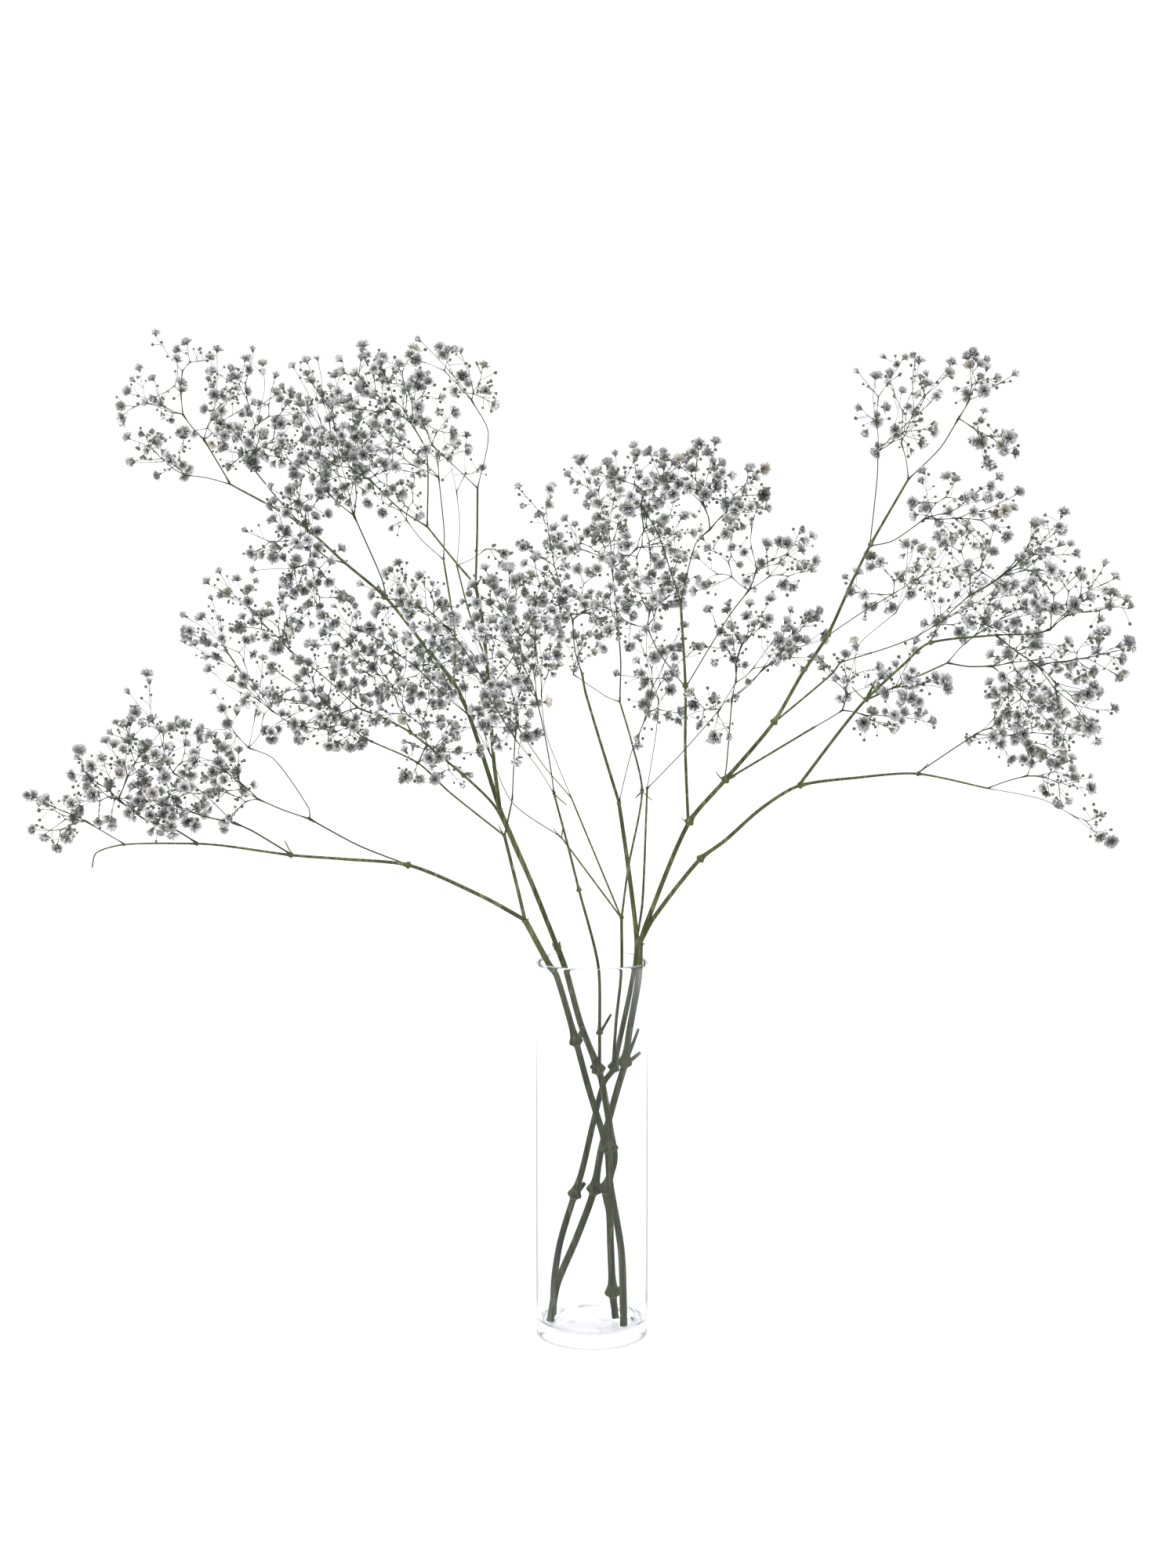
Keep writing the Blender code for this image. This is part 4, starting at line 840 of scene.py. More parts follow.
def shape_vase(sizes):
    """The cylinder is hollowed from the top, and its rim, heel and floor are rounded."""
    deselect()
    place = (0, 0, sizes.height / 2)
    bpy.ops.mesh.primitive_cylinder_add(vertices=128, radius=sizes.radius, depth=sizes.height, location=place)
    vase = bpy.context.active_object
    vase.name = vase.data.name = "vase_glass"
    bpy.ops.object.transform_apply(location=True, rotation=True, scale=True)
    bpy.ops.object.mode_set(mode="EDIT")
    pick(lambda face: face.normal.z > 0.9, "faces")
    bpy.ops.mesh.inset(thickness=sizes.wall, depth=0)
    inner = sizes.radius - sizes.wall
    pick(lambda face: face.normal.z > 0.9 and radius_of(face) < inner + SLACK, "faces")
    bpy.ops.mesh.extrude_region_move(TRANSFORM_OT_translate={"value": (0, 0, sizes.base - sizes.height)})
    pick(lambda face: face.normal.z < -0.9, "faces")
    bpy.ops.mesh.inset(thickness=sizes.heel + 0.004, depth=0)
    bpy.ops.mesh.extrude_region_move(TRANSFORM_OT_translate={"value": (0, 0, sizes.punt * 0.7)})
    bpy.ops.transform.resize(value=(0.86, 0.86, 1))
    bpy.ops.mesh.inset(thickness=0.012, depth=0)
    bpy.ops.transform.translate(value=(0, 0, sizes.punt * 0.3))
    pick(lambda face: face.normal.z > 0.9 and level(face, sizes.base), "faces")
    bpy.ops.mesh.inset(thickness=sizes.floor + 0.006, depth=0)
    bpy.ops.transform.translate(value=(0, 0, -sizes.dish))
    pick(lambda edge: level(edge, sizes.height), "edges")
    bpy.ops.mesh.bevel(offset=sizes.wall * 0.48, segments=6, affect="EDGES", clamp_overlap=True)
    pick(lambda edge: level(edge, 0) and radius_of(edge) > sizes.radius - 10 * SLACK, "edges")
    bpy.ops.mesh.bevel(offset=sizes.heel, segments=10, affect="EDGES", clamp_overlap=True)
    pick(lambda edge: level(edge, sizes.base) and radius_of(edge) > inner - 10 * SLACK, "edges")
    bpy.ops.mesh.bevel(offset=sizes.floor, segments=8, affect="EDGES", clamp_overlap=True)
    # Narrow bands beside each rounding keep the long walls' shading straight
    for height in (sizes.height - sizes.wall * 0.8, sizes.base + sizes.floor * 1.3, sizes.heel * 1.2):
        bpy.ops.mesh.select_all(action="SELECT")
        bpy.ops.mesh.bisect(plane_co=(0, 0, height), plane_no=(0, 0, 1))
    bpy.ops.mesh.select_all(action="SELECT")
    bpy.ops.mesh.remove_doubles(threshold=1e-6)
    bpy.ops.mesh.normals_make_consistent(inside=False)
    bpy.ops.object.mode_set(mode="OBJECT")
    bpy.ops.object.shade_smooth_by_angle(angle=math.radians(40))
    return vase


# Petals, buds and leaves, each modelled once


# How wide a petal is at its foot and its tip, against its middle, and how far up its bend lies
PETAL_FOOT, PETAL_TIP, PETAL_BEND = 0.35, 0.84, 0.68
PETAL_POINTS = 6


def petal_row(count, foot, reach, width, rise, turn):
    """One ring of narrow petals on the mesh in edit mode: a grid is drawn out to a petal and copied round."""
    bpy.ops.mesh.primitive_grid_add(x_subdivisions=1, y_subdivisions=2, size=1, calc_uvs=True)
    bpy.ops.transform.resize(value=(width, reach - foot, 1))
    bpy.ops.transform.translate(value=(0, (reach + foot) / 2, 0))
    mesh = bmesh.from_edit_mesh(bpy.context.edit_object.data)
    fresh = {point.index for point in mesh.verts if point.select}
    middle = (foot + reach) / 2
    near = (reach - foot) / 8

    def part(test):
        pick(lambda point: point.index in fresh and test(point.co))

    part(lambda co: abs(co.y - foot) < near)
    bpy.ops.transform.resize(value=(PETAL_FOOT, 1, 1))
    part(lambda co: abs(co.y - reach) < near)
    bpy.ops.transform.resize(value=(PETAL_TIP, 1, 1))
    bpy.ops.transform.translate(value=(0, 0, rise))
    part(lambda co: abs(co.y - middle) < near)
    bpy.ops.transform.translate(value=(0, near, rise * PETAL_BEND))
    part(lambda co: True)
    if turn:
        bpy.ops.transform.rotate(value=turn, orient_axis="Z", center_override=(0, 0, 0))
    whole = 2 * math.pi * (count - 1) / count
    bpy.ops.mesh.spin(steps=count - 1, dupli=True, angle=whole, center=(0, 0, 0), axis=(0, 0, 1))


class Shape:
    """A finished small shape as arrays, to be copied into the sprays' meshes."""

    def __init__(self, points, faces, maps, shade):
        self.points, self.faces, self.maps, self.shade = points, faces, maps, shade


def taken_off(thing, shade=None):
    """A small piece as a Shape; its object goes."""
    mesh = thing.data
    points = np.array([point.co for point in mesh.vertices]) / MM
    faces = [tuple(face.vertices) for face in mesh.polygons]
    maps = mesh.uv_layers["UVMap"].data
    maps = np.array([tuple(maps[i].uv) for face in mesh.polygons for i in face.loop_indices])
    bpy.data.objects.remove(thing)
    return Shape(points, faces, maps, np.ones(len(points)) if shade is None else shade)


def calyx_cup(foot, mouth, height, tooth):
    """A green cup with five pointed teeth, on the mesh in edit mode."""
    bpy.ops.mesh.primitive_cone_add(
        vertices=10, radius1=foot, radius2=mouth, depth=height, end_fill_type="NOTHING", calc_uvs=True
    )
    bpy.ops.transform.translate(value=(0, 0, height / 2))
    mesh = bmesh.from_edit_mesh(bpy.context.edit_object.data)
    fresh = {point.index for point in mesh.verts if point.select}

    def tip(point):
        turn = round(math.atan2(point.co.y, point.co.x) / math.radians(36))
        return point.index in fresh and point.co.z > height * 0.9 and turn % 2 == 0

    pick(tip)
    bpy.ops.transform.translate(value=(0, 0, tooth))
    bpy.ops.transform.resize(value=(1.12, 1.12, 1), center_override=(0, 0, 0))


def finish_shape(thing, draw, jitter):
    """Leaves edit mode, and makes the ring of copies a little uneven, as grown."""
    bpy.ops.object.mode_set(mode="OBJECT")
    for point in thing.data.vertices:
        reach = math.hypot(*point.co.xy) / MM
        step = draw.normal(size=3) * jitter * min(1.0, reach / 3) * MM
        point.co += Vector(step)


def model_bloom(name, rows, draw):
    """A double bloom: rings of petals over each other, each petal its own shade, inner rings in painted
    shade.
    """
    thing = start_mesh(name)
    shades = []
    for count, foot, reach, width, rise, turn, shade in rows:
        petal_row(count, *[value * MM for value in (foot, reach, width, rise)], math.radians(turn))
        shades.append(np.repeat(shade * draw.uniform(0.7, 1.1, count), PETAL_POINTS))
    finish_shape(thing, draw, 0.3)
    return taken_off(thing, np.concatenate(shades))


def model_cup(name, foot, mouth, height, tooth):
    thing = start_mesh(name)
    calyx_cup(foot * MM, mouth * MM, height * MM, tooth * MM)
    bpy.ops.object.mode_set(mode="OBJECT")
    shape = taken_off(thing)
    shape.shade *= 0
    return shape


def model_bud(name, radius, height):
    """A round bud drawn up from a sphere: narrow at its foot, blunt at its tip."""
    thing = start_mesh(name)
    bpy.ops.mesh.primitive_uv_sphere_add(segments=6, ring_count=4, radius=radius * MM, calc_uvs=True)
    bpy.ops.transform.resize(value=(1, 1, height / radius / 2))
    bpy.ops.transform.translate(value=(0, 0, height / 2 * MM))
    pick(lambda point: point.co.z < height * 0.3 * MM)
    bpy.ops.transform.resize(value=(0.72, 0.72, 1), center_override=(0, 0, 0))
    pick(lambda point: point.co.z > height * 0.7 * MM)
    bpy.ops.transform.resize(value=(0.85, 0.85, 1), center_override=(0, 0, 0))
    bpy.ops.object.mode_set(mode="OBJECT")
    return taken_off(thing)


def model_blade(name, steps):
    """A pointed blade one millimetre long and wide, folded along its rib, its tip bent over."""
    thing = start_mesh(name)
    bpy.ops.mesh.primitive_grid_add(x_subdivisions=2, y_subdivisions=steps, size=MM, calc_uvs=True)
    bpy.ops.transform.translate(value=(0, MM / 2, 0))
    for i in range(steps + 1):
        share = i / steps
        wide = max(0.06, math.sin(math.pi * (0.12 + 0.88 * share) ** 0.8))
        pick(lambda point: abs(point.co.y - share * MM) < 1e-6)
        bpy.ops.transform.resize(value=(wide, 1, 1), center_override=(0, share * MM, 0))
        bpy.ops.transform.translate(value=(0, 0, -0.22 * share * share * MM))
    pick(lambda point: abs(point.co.x) < 1e-7)
    bpy.ops.transform.translate(value=(0, 0, -0.1 * MM))
    bpy.ops.object.mode_set(mode="OBJECT")
    only(thing)
    wall = thing.modifiers.new("thickness", "SOLIDIFY")
    wall.thickness = 0.09 * MM
    wall.offset = 0
    bpy.ops.object.modifier_apply(modifier=wall.name)
    return taken_off(thing)


class Heap:
    """Copies of small shapes gathered into one mesh."""

    def __init__(self):
        self.points, self.faces, self.maps, self.shade, self.warm, self.finish = [], [], [], [], [], []
        self.count = 0

    def put(self, shape, foot, along, scale, turn, shade=1.0, warm=0.0, finish=0, across=None):
        """One copy, its foot at a place and its height along a direction."""
        along = unit(np.asarray(along, float))
        side = np.cross(along, (0.35, 0.25, 0.9)) if across is None else np.asarray(across, float)
        side = unit(side - along * (side @ along))
        other = np.cross(along, side)
        x = math.cos(turn) * side + math.sin(turn) * other
        y = np.cross(along, x)
        places = shape.points * scale @ np.array([x, y, along]) + foot
        self.points.append(places)
        self.faces += [tuple(i + self.count for i in face) for face in shape.faces]
        self.maps.append(shape.maps)
        self.shade.append(shape.shade * shade)
        self.warm.append(np.full(len(places), warm))
        self.finish += [finish] * len(shape.faces)
        self.count += len(places)

    def made(self, name, finishes):
        mesh = bpy.data.meshes.new(name)
        mesh.from_pydata((np.concatenate(self.points) * MM).tolist(), [], self.faces)
        layer = mesh.uv_layers.new(name="UVMap")
        layer.data.foreach_set("uv", np.concatenate(self.maps).ravel())
        for key, rows in (("shade", self.shade), ("warm", self.warm)):
            values = mesh.attributes.new(key, "FLOAT", "POINT")
            values.data.foreach_set("value", np.concatenate(rows).astype(np.float32))
        for finish in finishes:
            mesh.materials.append(finish)
        mesh.polygons.foreach_set("material_index", self.finish)
        mesh.polygons.foreach_set("use_smooth", [True] * len(self.faces))
        mesh.update()
        piece = bpy.data.objects.new(name, mesh)
        bpy.context.scene.collection.objects.link(piece)
        return piece


# Stems and twigs


def unit(vector):
    return vector / max(np.linalg.norm(vector), 1e-9)


def smooth_line(points, step):
    """A line through all the points that bends softly at each, with a point about every step."""
    points = np.array(points, float)
    ends = [2 * points[0] - points[1], *points, 2 * points[-1] - points[-2]]
    found = [points[0]]
    for before, start, end, after in zip(ends, ends[1:], ends[2:], ends[3:]):
        length = np.linalg.norm(end - start)
        lean_in = (end - before) / max(np.linalg.norm(end - before), 1e-9) * length * 0.8
        lean_out = (after - start) / max(np.linalg.norm(after - start), 1e-9) * length * 0.8
        count = max(1, round(length / step))
        for k in range(1, count + 1):
            t = k / count
            a, b = 2 * t**3 - 3 * t**2 + 1, t**3 - 2 * t**2 + t
            c, d = -2 * t**3 + 3 * t**2, t**3 - t**2
            found.append(a * start + b * lean_in + c * end + d * lean_out)
    return np.array(found)


def draw_rods(name, rods, sides):
    """Round rods along lines of points and radii, drawn as one bevelled curve and made a mesh."""
    deselect()
    bpy.ops.curve.primitive_bezier_curve_add(radius=MM)
    curve = bpy.context.active_object
    curve.name = curve.data.name = name
    curve.data.splines.clear()
    curve.data.dimensions = "3D"
    curve.data.bevel_depth = MM
    curve.data.bevel_resolution = sides // 2 - 2
    curve.data.use_fill_caps = True
    curve.data.resolution_u = 1
    for points, radii in rods:
        line = curve.data.splines.new("POLY")
        line.points.add(len(points) - 1)
        places = np.c_[np.asarray(points) * MM, np.ones(len(points))]
        line.points.foreach_set("co", places.ravel())
        line.points.foreach_set("radius", np.asarray(radii, float))
        line.use_smooth = True
    only(curve)
    bpy.ops.object.convert(target="MESH")
    made = bpy.context.active_object
    made.data.validate()
    return made


def on_floor(foot, after, radius):
    """The foot moved along its stem until its lowest edge stands just over the vase's floor."""
    along = unit(after - foot)
    lowest = foot[2] - radius * math.hypot(along[0], along[1])
    return foot + along * (VASE_BASE + GAP - lowest) / along[2]


TWIG_SIDES = 4
THIN_SIDES = 8


def knuckle_swell(away, radius, swell):
    """How much a stem widens at a distance from a knuckle, the tip's side positive: most just above it."""
    away = away / radius - 0.7
    if away < 0:
        return 1 + (swell - 1) * math.exp(-((away / 0.8) ** 2))
    return 1 + (swell - 1) * (0.6 * math.exp(-((away / 1.4) ** 2)) + 0.4 * math.exp(-((away / 3.2) ** 2)))


def finer_near(line, far, marks, radius):
    """The line with more points round each knuckle, so that its bulge has a clear edge."""
    places = set(np.round(far, 3))
    for mark in marks:
        for step in KNUCKLE_STEPS:
            place = mark + step * radius
            if 0 < place < far[-1]:
                places.add(round(place, 3))
    places = np.array(sorted(places))
    places = places[np.r_[True, np.diff(places) > 0.15 * radius]]
    return np.array([np.interp(places, far, line[:, k]) for k in range(3)]).T, places


KNUCKLE_STEPS = (-1.3, -0.8, -0.5, -0.2, 0.1, 0.4, 0.7, 1.1, 1.5, 2.0, 2.7)


def stem_rod(first, last, knots, route, swell):
    """A smooth stem through its route, swollen at its knuckles, as (points, radii)."""
    route = [np.array(point, float) for point in route]
    if route[0][2] < FOOT_HEIGHT:
        route[0] = on_floor(route[0], route[1], first)
    line = smooth_line(route, 2.4 if first > THIN_STEM else 2.0)
    far = np.r_[0, np.cumsum(np.linalg.norm(np.diff(line, axis=0), axis=1))]
    marks = [far[np.argmin(((line - route[knot]) ** 2).sum(1))] for knot in knots]
    line, far = finer_near(line, far, marks, (first + last) / 2)
    radii = first + (last - first) * far / far[-1]
    for i, place in enumerate(far):
        for mark in marks:
            radii[i] *= knuckle_swell(place - mark, radii[i], swell)
    return line, radii


class Twig:
    """One point of a forking spray, with what grows on from it."""

    def __init__(self, place):
        self.place = np.array(place, float)
        self.kids = []
        self.load = 1
        self.blooms = False


def cloud_places(order, cloud, taken):
    """Places of a cloud's blooms, each as far as it can be from those before it."""
    _, centre, half, count = cloud
    draw = np.random.default_rng(SEED + order)
    places = []
    for _ in range(count):
        tries = draw.normal(size=(60, 3))
        tries /= np.linalg.norm(tries, axis=1)[:, None]
        tries = np.array(centre) + np.array(half) * tries * draw.random((60, 1)) ** 0.4
        others = np.array(taken + places) if taken or places else np.full((1, 3), 1e6)
        room = np.linalg.norm(tries[:, None] - others[None], axis=2).min(1)
        places.append(tries[np.argmax(np.minimum(room, 4 * BLOOM_SPACING))])
    return places


def split(goals):
    """Two groups of places that lie near each other."""
    one = goals[np.argmax(((goals - goals.mean(0)) ** 2).sum(1))]
    two = goals[np.argmax(((goals - one) ** 2).sum(1))]
    near = ((goals - one) ** 2).sum(1) <= ((goals - two) ** 2).sum(1)
    for _ in range(5):
        one, two = goals[near].mean(0), goals[~near].mean(0)
        again = ((goals - one) ** 2).sum(1) <= ((goals - two) ** 2).sum(1)
        if again.all() or not again.any():
            break
        near = again
    return [goals[near], goals[~near]]


def grow(twig, goals):
    """Forks a twig towards all its goals, and puts a bloom at each."""
    groups = [goals]
    if len(goals) > 1:
        groups = split(goals)
    if len(goals) > 4:
        groups.sort(key=len)
        groups = groups[:1] + split(groups[1])
    for group in groups:
        if len(group) == 1:
            bloom = Twig(group[0])
            bloom.blooms = True
            twig.kids.append(bloom)
        else:
            fork = Twig(twig.place + FORK_PLACE * (group.mean(0) - twig.place))
            twig.kids.append(fork)
            grow(fork, group)


def weigh(twig):
    if twig.kids:
        twig.load = sum(weigh(kid) for kid in twig.kids)
    return twig.load


def spray_tree(routes, goals):
    """The spray as twigs: its thin branches first, then the forks that reach the blooms."""
    root = Twig(routes[0][0])
    line = [root]
    for point in routes[0][1:]:
        line.append(Twig(point))
        line[-2].kids.append(line[-1])
    tips = [line[-1]]
    if len(routes) > 1:
        fork = line[routes[0].index(routes[1][0])]
        for point in routes[1][1:]:
            fork.kids.append(Twig(point))
            fork = fork.kids[-1]
        tips.append(fork)
    for tip, places in zip(tips, goals):
        grow(tip, np.array(places))
    weigh(root)
    return root


# How many blooms the thickest twigs carry, how thin the others can be against them, and how much twigs
# swell where they leave a fork and where they reach one
FULL_LOAD = 36
THINNEST_TWIG = 0.22
FORK_FOOT, FORK_TIP = 1.8, 2.1


def twig_lines(root, sizes, draw):
    """The twigs as smooth rods, each running on through what grows straight from it."""
    rods = []

    def thickness(load):
        share = min(1.0, math.sqrt(load / FULL_LOAD))
        return sizes.twig_radius / MM * (THINNEST_TWIG + (1 - THINNEST_TWIG) * share)

    def follow(start, kid):
        chain = [start, kid]
        while len(chain[-1].kids) == 1 and not chain[-1].kids[0].blooms:
            chain.append(chain[-1].kids[0])
        places = [twig.place for twig in chain]
        if len(places) == 2:
            bow = np.cross(places[1] - places[0], draw.normal(size=3))
            bow = unit(bow) * np.linalg.norm(places[1] - places[0]) * draw.uniform(0.02, 0.07)
            places.insert(1, (places[0] + places[1]) / 2 + bow)
        line = smooth_line(places, 7.0)
        first, last = thickness(kid.load), thickness(chain[-1].load)
        radii = np.linspace(first, last, len(line))
        radii[0] *= FORK_FOOT
        radii[-1] *= 1.0 if chain[-1].blooms else FORK_TIP
        rods.append((line, radii))
        for after in chain[-1].kids:
            follow(chain[-1], after)

    for kid in root.kids:
        follow(root, kid)
    return rods


def all_twigs(twig, before=None):
    """Every twig of a spray with the one it grows from."""
    found = [(before, twig)] if before else []
    for kid in twig.kids:
        found += all_twigs(kid, twig)
    return found


# Sizes and colours


def colour(name, description, default):
    return FloatVectorProperty(
        name=name, description=description, default=default, subtype="COLOR", size=3, min=0, max=1
    )


def length(name, description, default):
    return FloatProperty(name=name, description=description, default=default, unit="LENGTH", min=0)


def plain(name, description, default, low=0, high=100):
    return FloatProperty(name=name, description=description, default=default, min=low, max=high)


VASE_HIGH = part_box("vase")[1]


class VaseSizes(bpy.types.PropertyGroup):
    height: length("Height", "Height of the glass", VASE_HIGH.z)
    radius: length("Radius", "Outer radius of the glass", VASE_HIGH.x)
    wall: length("Wall", "Thickness of the wall", 0.0034)
    base: length("Base", "Thickness of the base", 0.0105)
    heel: length("Heel", "Radius of the outer corner under the vase", 0.007)
    floor: length("Floor corner", "Radius of the inner corner at the floor", 0.005)
    punt: length("Punt", "How far the underside is hollowed", 0.0022)
    dish: length("Dish", "How far the floor dips in its middle", 0.0008)
    tint: colour("Tint", "Colour of the glass", (0.985, 0.985, 0.995))
    # Painted reflections: the darker lavender lines where the wall and the heel are seen edge on
    edge_reflection_tint: colour("Edge tint", "Colour of the glass where it is seen edge on", (0.62, 0.62, 0.67))
    # Painted reflections: the dark streaks low in the wall where the glass is seen edge on
    low_reflection_tint: colour("Mark tint", "Colour of the marks low in the wall", (0.34, 0.34, 0.42))
    rim_tint: colour("Rim tint", "Colour of the rim where it is seen edge on", (0.93, 0.93, 0.95))


class PlantColours(bpy.types.PropertyGroup):
    stem: colour("Stem", "Skin of the thick stems", (0.052, 0.068, 0.016))
    stem_light: colour("Stem, light", "Paler parts of the stems' skin", (0.115, 0.14, 0.044))
    # Where it streaks the stems, this colour is partly painted highlights
    stem_streak: colour("Streaks", "Long pale streaks on the stems", (0.24, 0.26, 0.14))
    knuckle: colour("Knuckles", "Dry skin at the knuckles", (0.12, 0.075, 0.035))
    twig: colour("Twigs", "Thin twigs", (0.022, 0.026, 0.014))
    twig_light: colour("Twigs, light", "Paler parts of the twigs", (0.05, 0.057, 0.03))
    leaf: colour("Leaves", "Leaves at the knuckles", (0.06, 0.085, 0.035))
    bud: colour("Buds", "Closed buds and calyces", (0.06, 0.07, 0.045))
    bud_light: colour("Buds, light", "Paler parts of the buds", (0.14, 0.15, 0.11))
    # Painted shade on the petals at their feet
    throat_shade: colour("Throat", "Petals near their feet", (0.04, 0.042, 0.036))
    petal: colour("Petals", "Petals halfway out", (0.74, 0.74, 0.74))
    # Painted highlights on the petals at their tips
    petal_tip_highlight: colour("Petal tips", "Petals at their rounded tips", (0.97, 0.97, 0.98))
    cream: colour("Cream", "The few blooms that have yellowed", (0.6, 0.55, 0.42))


class SpraySizes(bpy.types.PropertyGroup):
    twig_radius: length("Twig radius", "Radius of the thickest twigs", 0.00064)
    pedicel_radius: length("Pedicel radius", "Radius of a bud's own stalk", 0.00017)
    bloom_size: plain("Bloom size", "Scale of the blooms", 1.07, 0.5)
    side_shoots: plain("Side shoots", "Short shoots beside each bloom", 3.7, 0, 5)
    shoots_in_bloom: plain("Shoots in bloom", "Share of the side shoots that bloom", 0.2, 0, 1)
    knuckle_swell: plain("Knuckle swelling", "Widest part of a knuckle over its stem", 2.3, 1)
    stem_sides: IntProperty(name="Stem sides", description="Faces round a thick stem", default=12, min=6)


class StageLook(bpy.types.PropertyGroup):
    floor: colour("Floor", "Floor and backdrop", (0.28, 0.28, 0.285))
    sides: colour("Sides", "Far sides of the stage, which the glass mirrors at its edges", (0.7, 0.7, 0.76))
    floor_glow: plain("Floor glow", "Light that the floor gives, as a light table", 0.69)
    sky: plain("Fill light", "Strength of the light from all round", 1.0)
    lamp: FloatProperty(
        name="Lamp power", description="Power of the main lamp", default=62, unit="POWER", min=0
    )


# Operators


def carried(piece, slot, *nodes):
    """Joins a finished piece to the frame's only body."""
    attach(piece, "root")
    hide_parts(*nodes)
    return piece


class MakeVase(bpy.types.Operator):
    """Blow the clear glass cylinder, with its round rim, thick base and rounded heel"""

    bl_idname = "gypsophila.make_vase"
    bl_label = "Glass vase"

    def execute(self, context):
        vase = shape_vase(context.scene.vase_sizes)
        vase.data.materials.clear()
        vase.data.materials.append(clear_glass(context.scene.vase_sizes))
        carried(vase, "glass", "vase")
        return {"FINISHED"}


def knuckles_of(stem):
    """Where a stem's knuckles are: (place, direction, radius)."""
    found = []
    for first, last, knots, route in STEMS[stem]:
        for knot in knots:
            here = np.array(route[knot], float)
            ahead = unit(np.array(route[min(knot + 1, len(route) - 1)], float) - route[max(knot - 1, 0)])
            found.append((here, ahead, first + (last - first) * knot / (len(route) - 1)))
    return found


def mark_knuckles(piece, stem):
    """Stores how near each point of a stem is to a knuckle, and to the ridge that runs round its foot."""
    points = np.array([point.co for point in piece.data.vertices]) / MM
    near, ring = np.zeros(len(points)), np.zeros(len(points))
    for place, ahead, radius in knuckles_of(stem):
        away = np.linalg.norm(points - place, axis=1) / radius
        near = np.maximum(near, np.exp(-((away / 1.9) ** 2)))
        above = (points - place) @ ahead / radius
        ring = np.maximum(ring, (away < 3) * np.exp(-(((above + 0.3) / 0.22) ** 2)))
    for key, row in (("knuckle", near), ("ring", ring)):
        values = piece.data.attributes.new(key, "FLOAT", "POINT")
        values.data.foreach_set("value", row.astype(np.float32))


class MakeStems(bpy.types.Operator):
    """Draw the four cut stems with their branches, knuckles and cut side shoots"""

    bl_idname = "gypsophila.make_stems"
    bl_label = "Stems"

    def execute(self, context):
        sizes, colours = context.scene.spray_sizes, context.scene.plant_colours
        bark, cut = stem_bark(colours), cut_end(colours)
        for stem, routes in STEMS.items():
            thick, thin = [], []
            for first, last, knots, route in routes:
                rod = stem_rod(first, last, knots, route, sizes.knuckle_swell)
                (thick if first > THIN_STEM else thin).append(rod)
            for owner, foot, end, radius in STUBS:
                if owner == stem:
                    line = smooth_line([foot, end], 2.5)
                    thin.append((line, np.linspace(radius * 1.5, radius * 1.1, len(line))))
            piece = draw_rods(stem + "_skin", thick, sizes.stem_sides)
            slim = draw_rods(stem + "_slim", thin, THIN_SIDES)
            only(piece)
            slim.select_set(True)
            bpy.ops.object.join()
            mark_knuckles(piece, stem)
            piece.data.materials.clear()
            piece.data.materials.append(bark)
            piece.data.materials.append(cut)
            for face in piece.data.polygons:
                face.use_smooth = len(face.vertices) < 5
                face.material_index = int(len(face.vertices) > 4)
            carried(piece, "stem", stem)
        return {"FINISHED"}


class MakeLeaves(bpy.types.Operator):
    """Cut the narrow leaves and the short scales that clasp the knuckles"""

    bl_idname = "gypsophila.make_leaves"
    bl_label = "Leaves"

    def execute(self, context):
        blade = model_blade("blade", 6)
        skin = leaf_skin(context.scene.plant_colours)
        draw = np.random.default_rng(SEED + 1)
        for stem in STEMS:
            heap = Heap()
            for owner, foot, tip, width in LEAVES:
                if owner != stem:
                    continue
                foot, tip = np.array(foot, float), np.array(tip, float)
                reach = np.linalg.norm(tip - foot)
                put_blade(heap, blade, foot, tip - foot, reach * 1.25, width, draw)
            for place, ahead, radius in knuckles_of(stem):
                side = unit(np.cross(ahead, draw.normal(size=3)))
                for way in (side, -side):
                    foot = place + way * radius * 1.1 - ahead * radius * 0.1
                    out = ahead * draw.uniform(1.2, 1.8) + way * draw.uniform(0.25, 0.6)
                    put_blade(heap, blade, foot, out, radius * draw.uniform(1.5, 2.6), radius * 2.4, draw)
            carried(heap.made(stem + "_leaves", [skin]), "stem", stem)
        return {"FINISHED"}


def put_blade(heap, blade, foot, out, reach, width, draw):
    """One leaf: its length along out, its back to the stem."""
    out = unit(out)
    side = unit(np.cross(out, (0.1, 0.2, 1.0)) + 0.2 * draw.normal(size=3))
    points = blade.points[:, [0, 2, 1]] * (width / 2, reach / 3, reach)
    heap.put(Shape(points, blade.faces, blade.maps, blade.shade), foot, out, 1.0, 0.0, across=side)


# Rings of petals: how many, foot, reach, width, rise, turn in degrees, shade, lower for inner rings as
# painted shade
OPEN_ROWS = (
    (9, 0.4, 4.9, 2.5, 1.2, 0, 1.0),
    (8, 0.4, 4.4, 2.3, 2.5, 21, 0.95),
    (6, 0.3, 3.4, 2.0, 3.7, 12, 0.86),
    (5, 0.1, 1.9, 1.4, 4.5, 40, 0.7),
)
CUPPED_ROWS = (
    (8, 0.4, 4.4, 2.6, 2.2, 0, 1.0),
    (7, 0.4, 3.7, 2.3, 3.6, 25, 0.93),
    (5, 0.3, 2.6, 1.9, 4.5, 10, 0.8),
    (4, 0.1, 1.3, 1.3, 4.9, 50, 0.66),
)
HALF_OPEN_ROWS = (
    (7, 0.4, 3.1, 2.2, 3.2, 0, 0.95),
    (5, 0.3, 2.3, 1.9, 4.1, 26, 0.84),
    (4, 0.1, 1.1, 1.2, 4.6, 15, 0.7),
)
BLOOM_LIFT = 1.3
# Reach of a side shoot, the room that it keeps inside the frame's box, and the sizes of its bud
SHOOT_REACH = (4.0, 12.0)
SHOOT_ROOM = 4.5
BUD_SIZES = (0.72, 1.15)
# Length and width of the two scales at a fork
SCALE_SIZE = (2.5, 1.5)
HALF_OPEN_SHARE = 0.26
CREAM_SHARE = 0.06


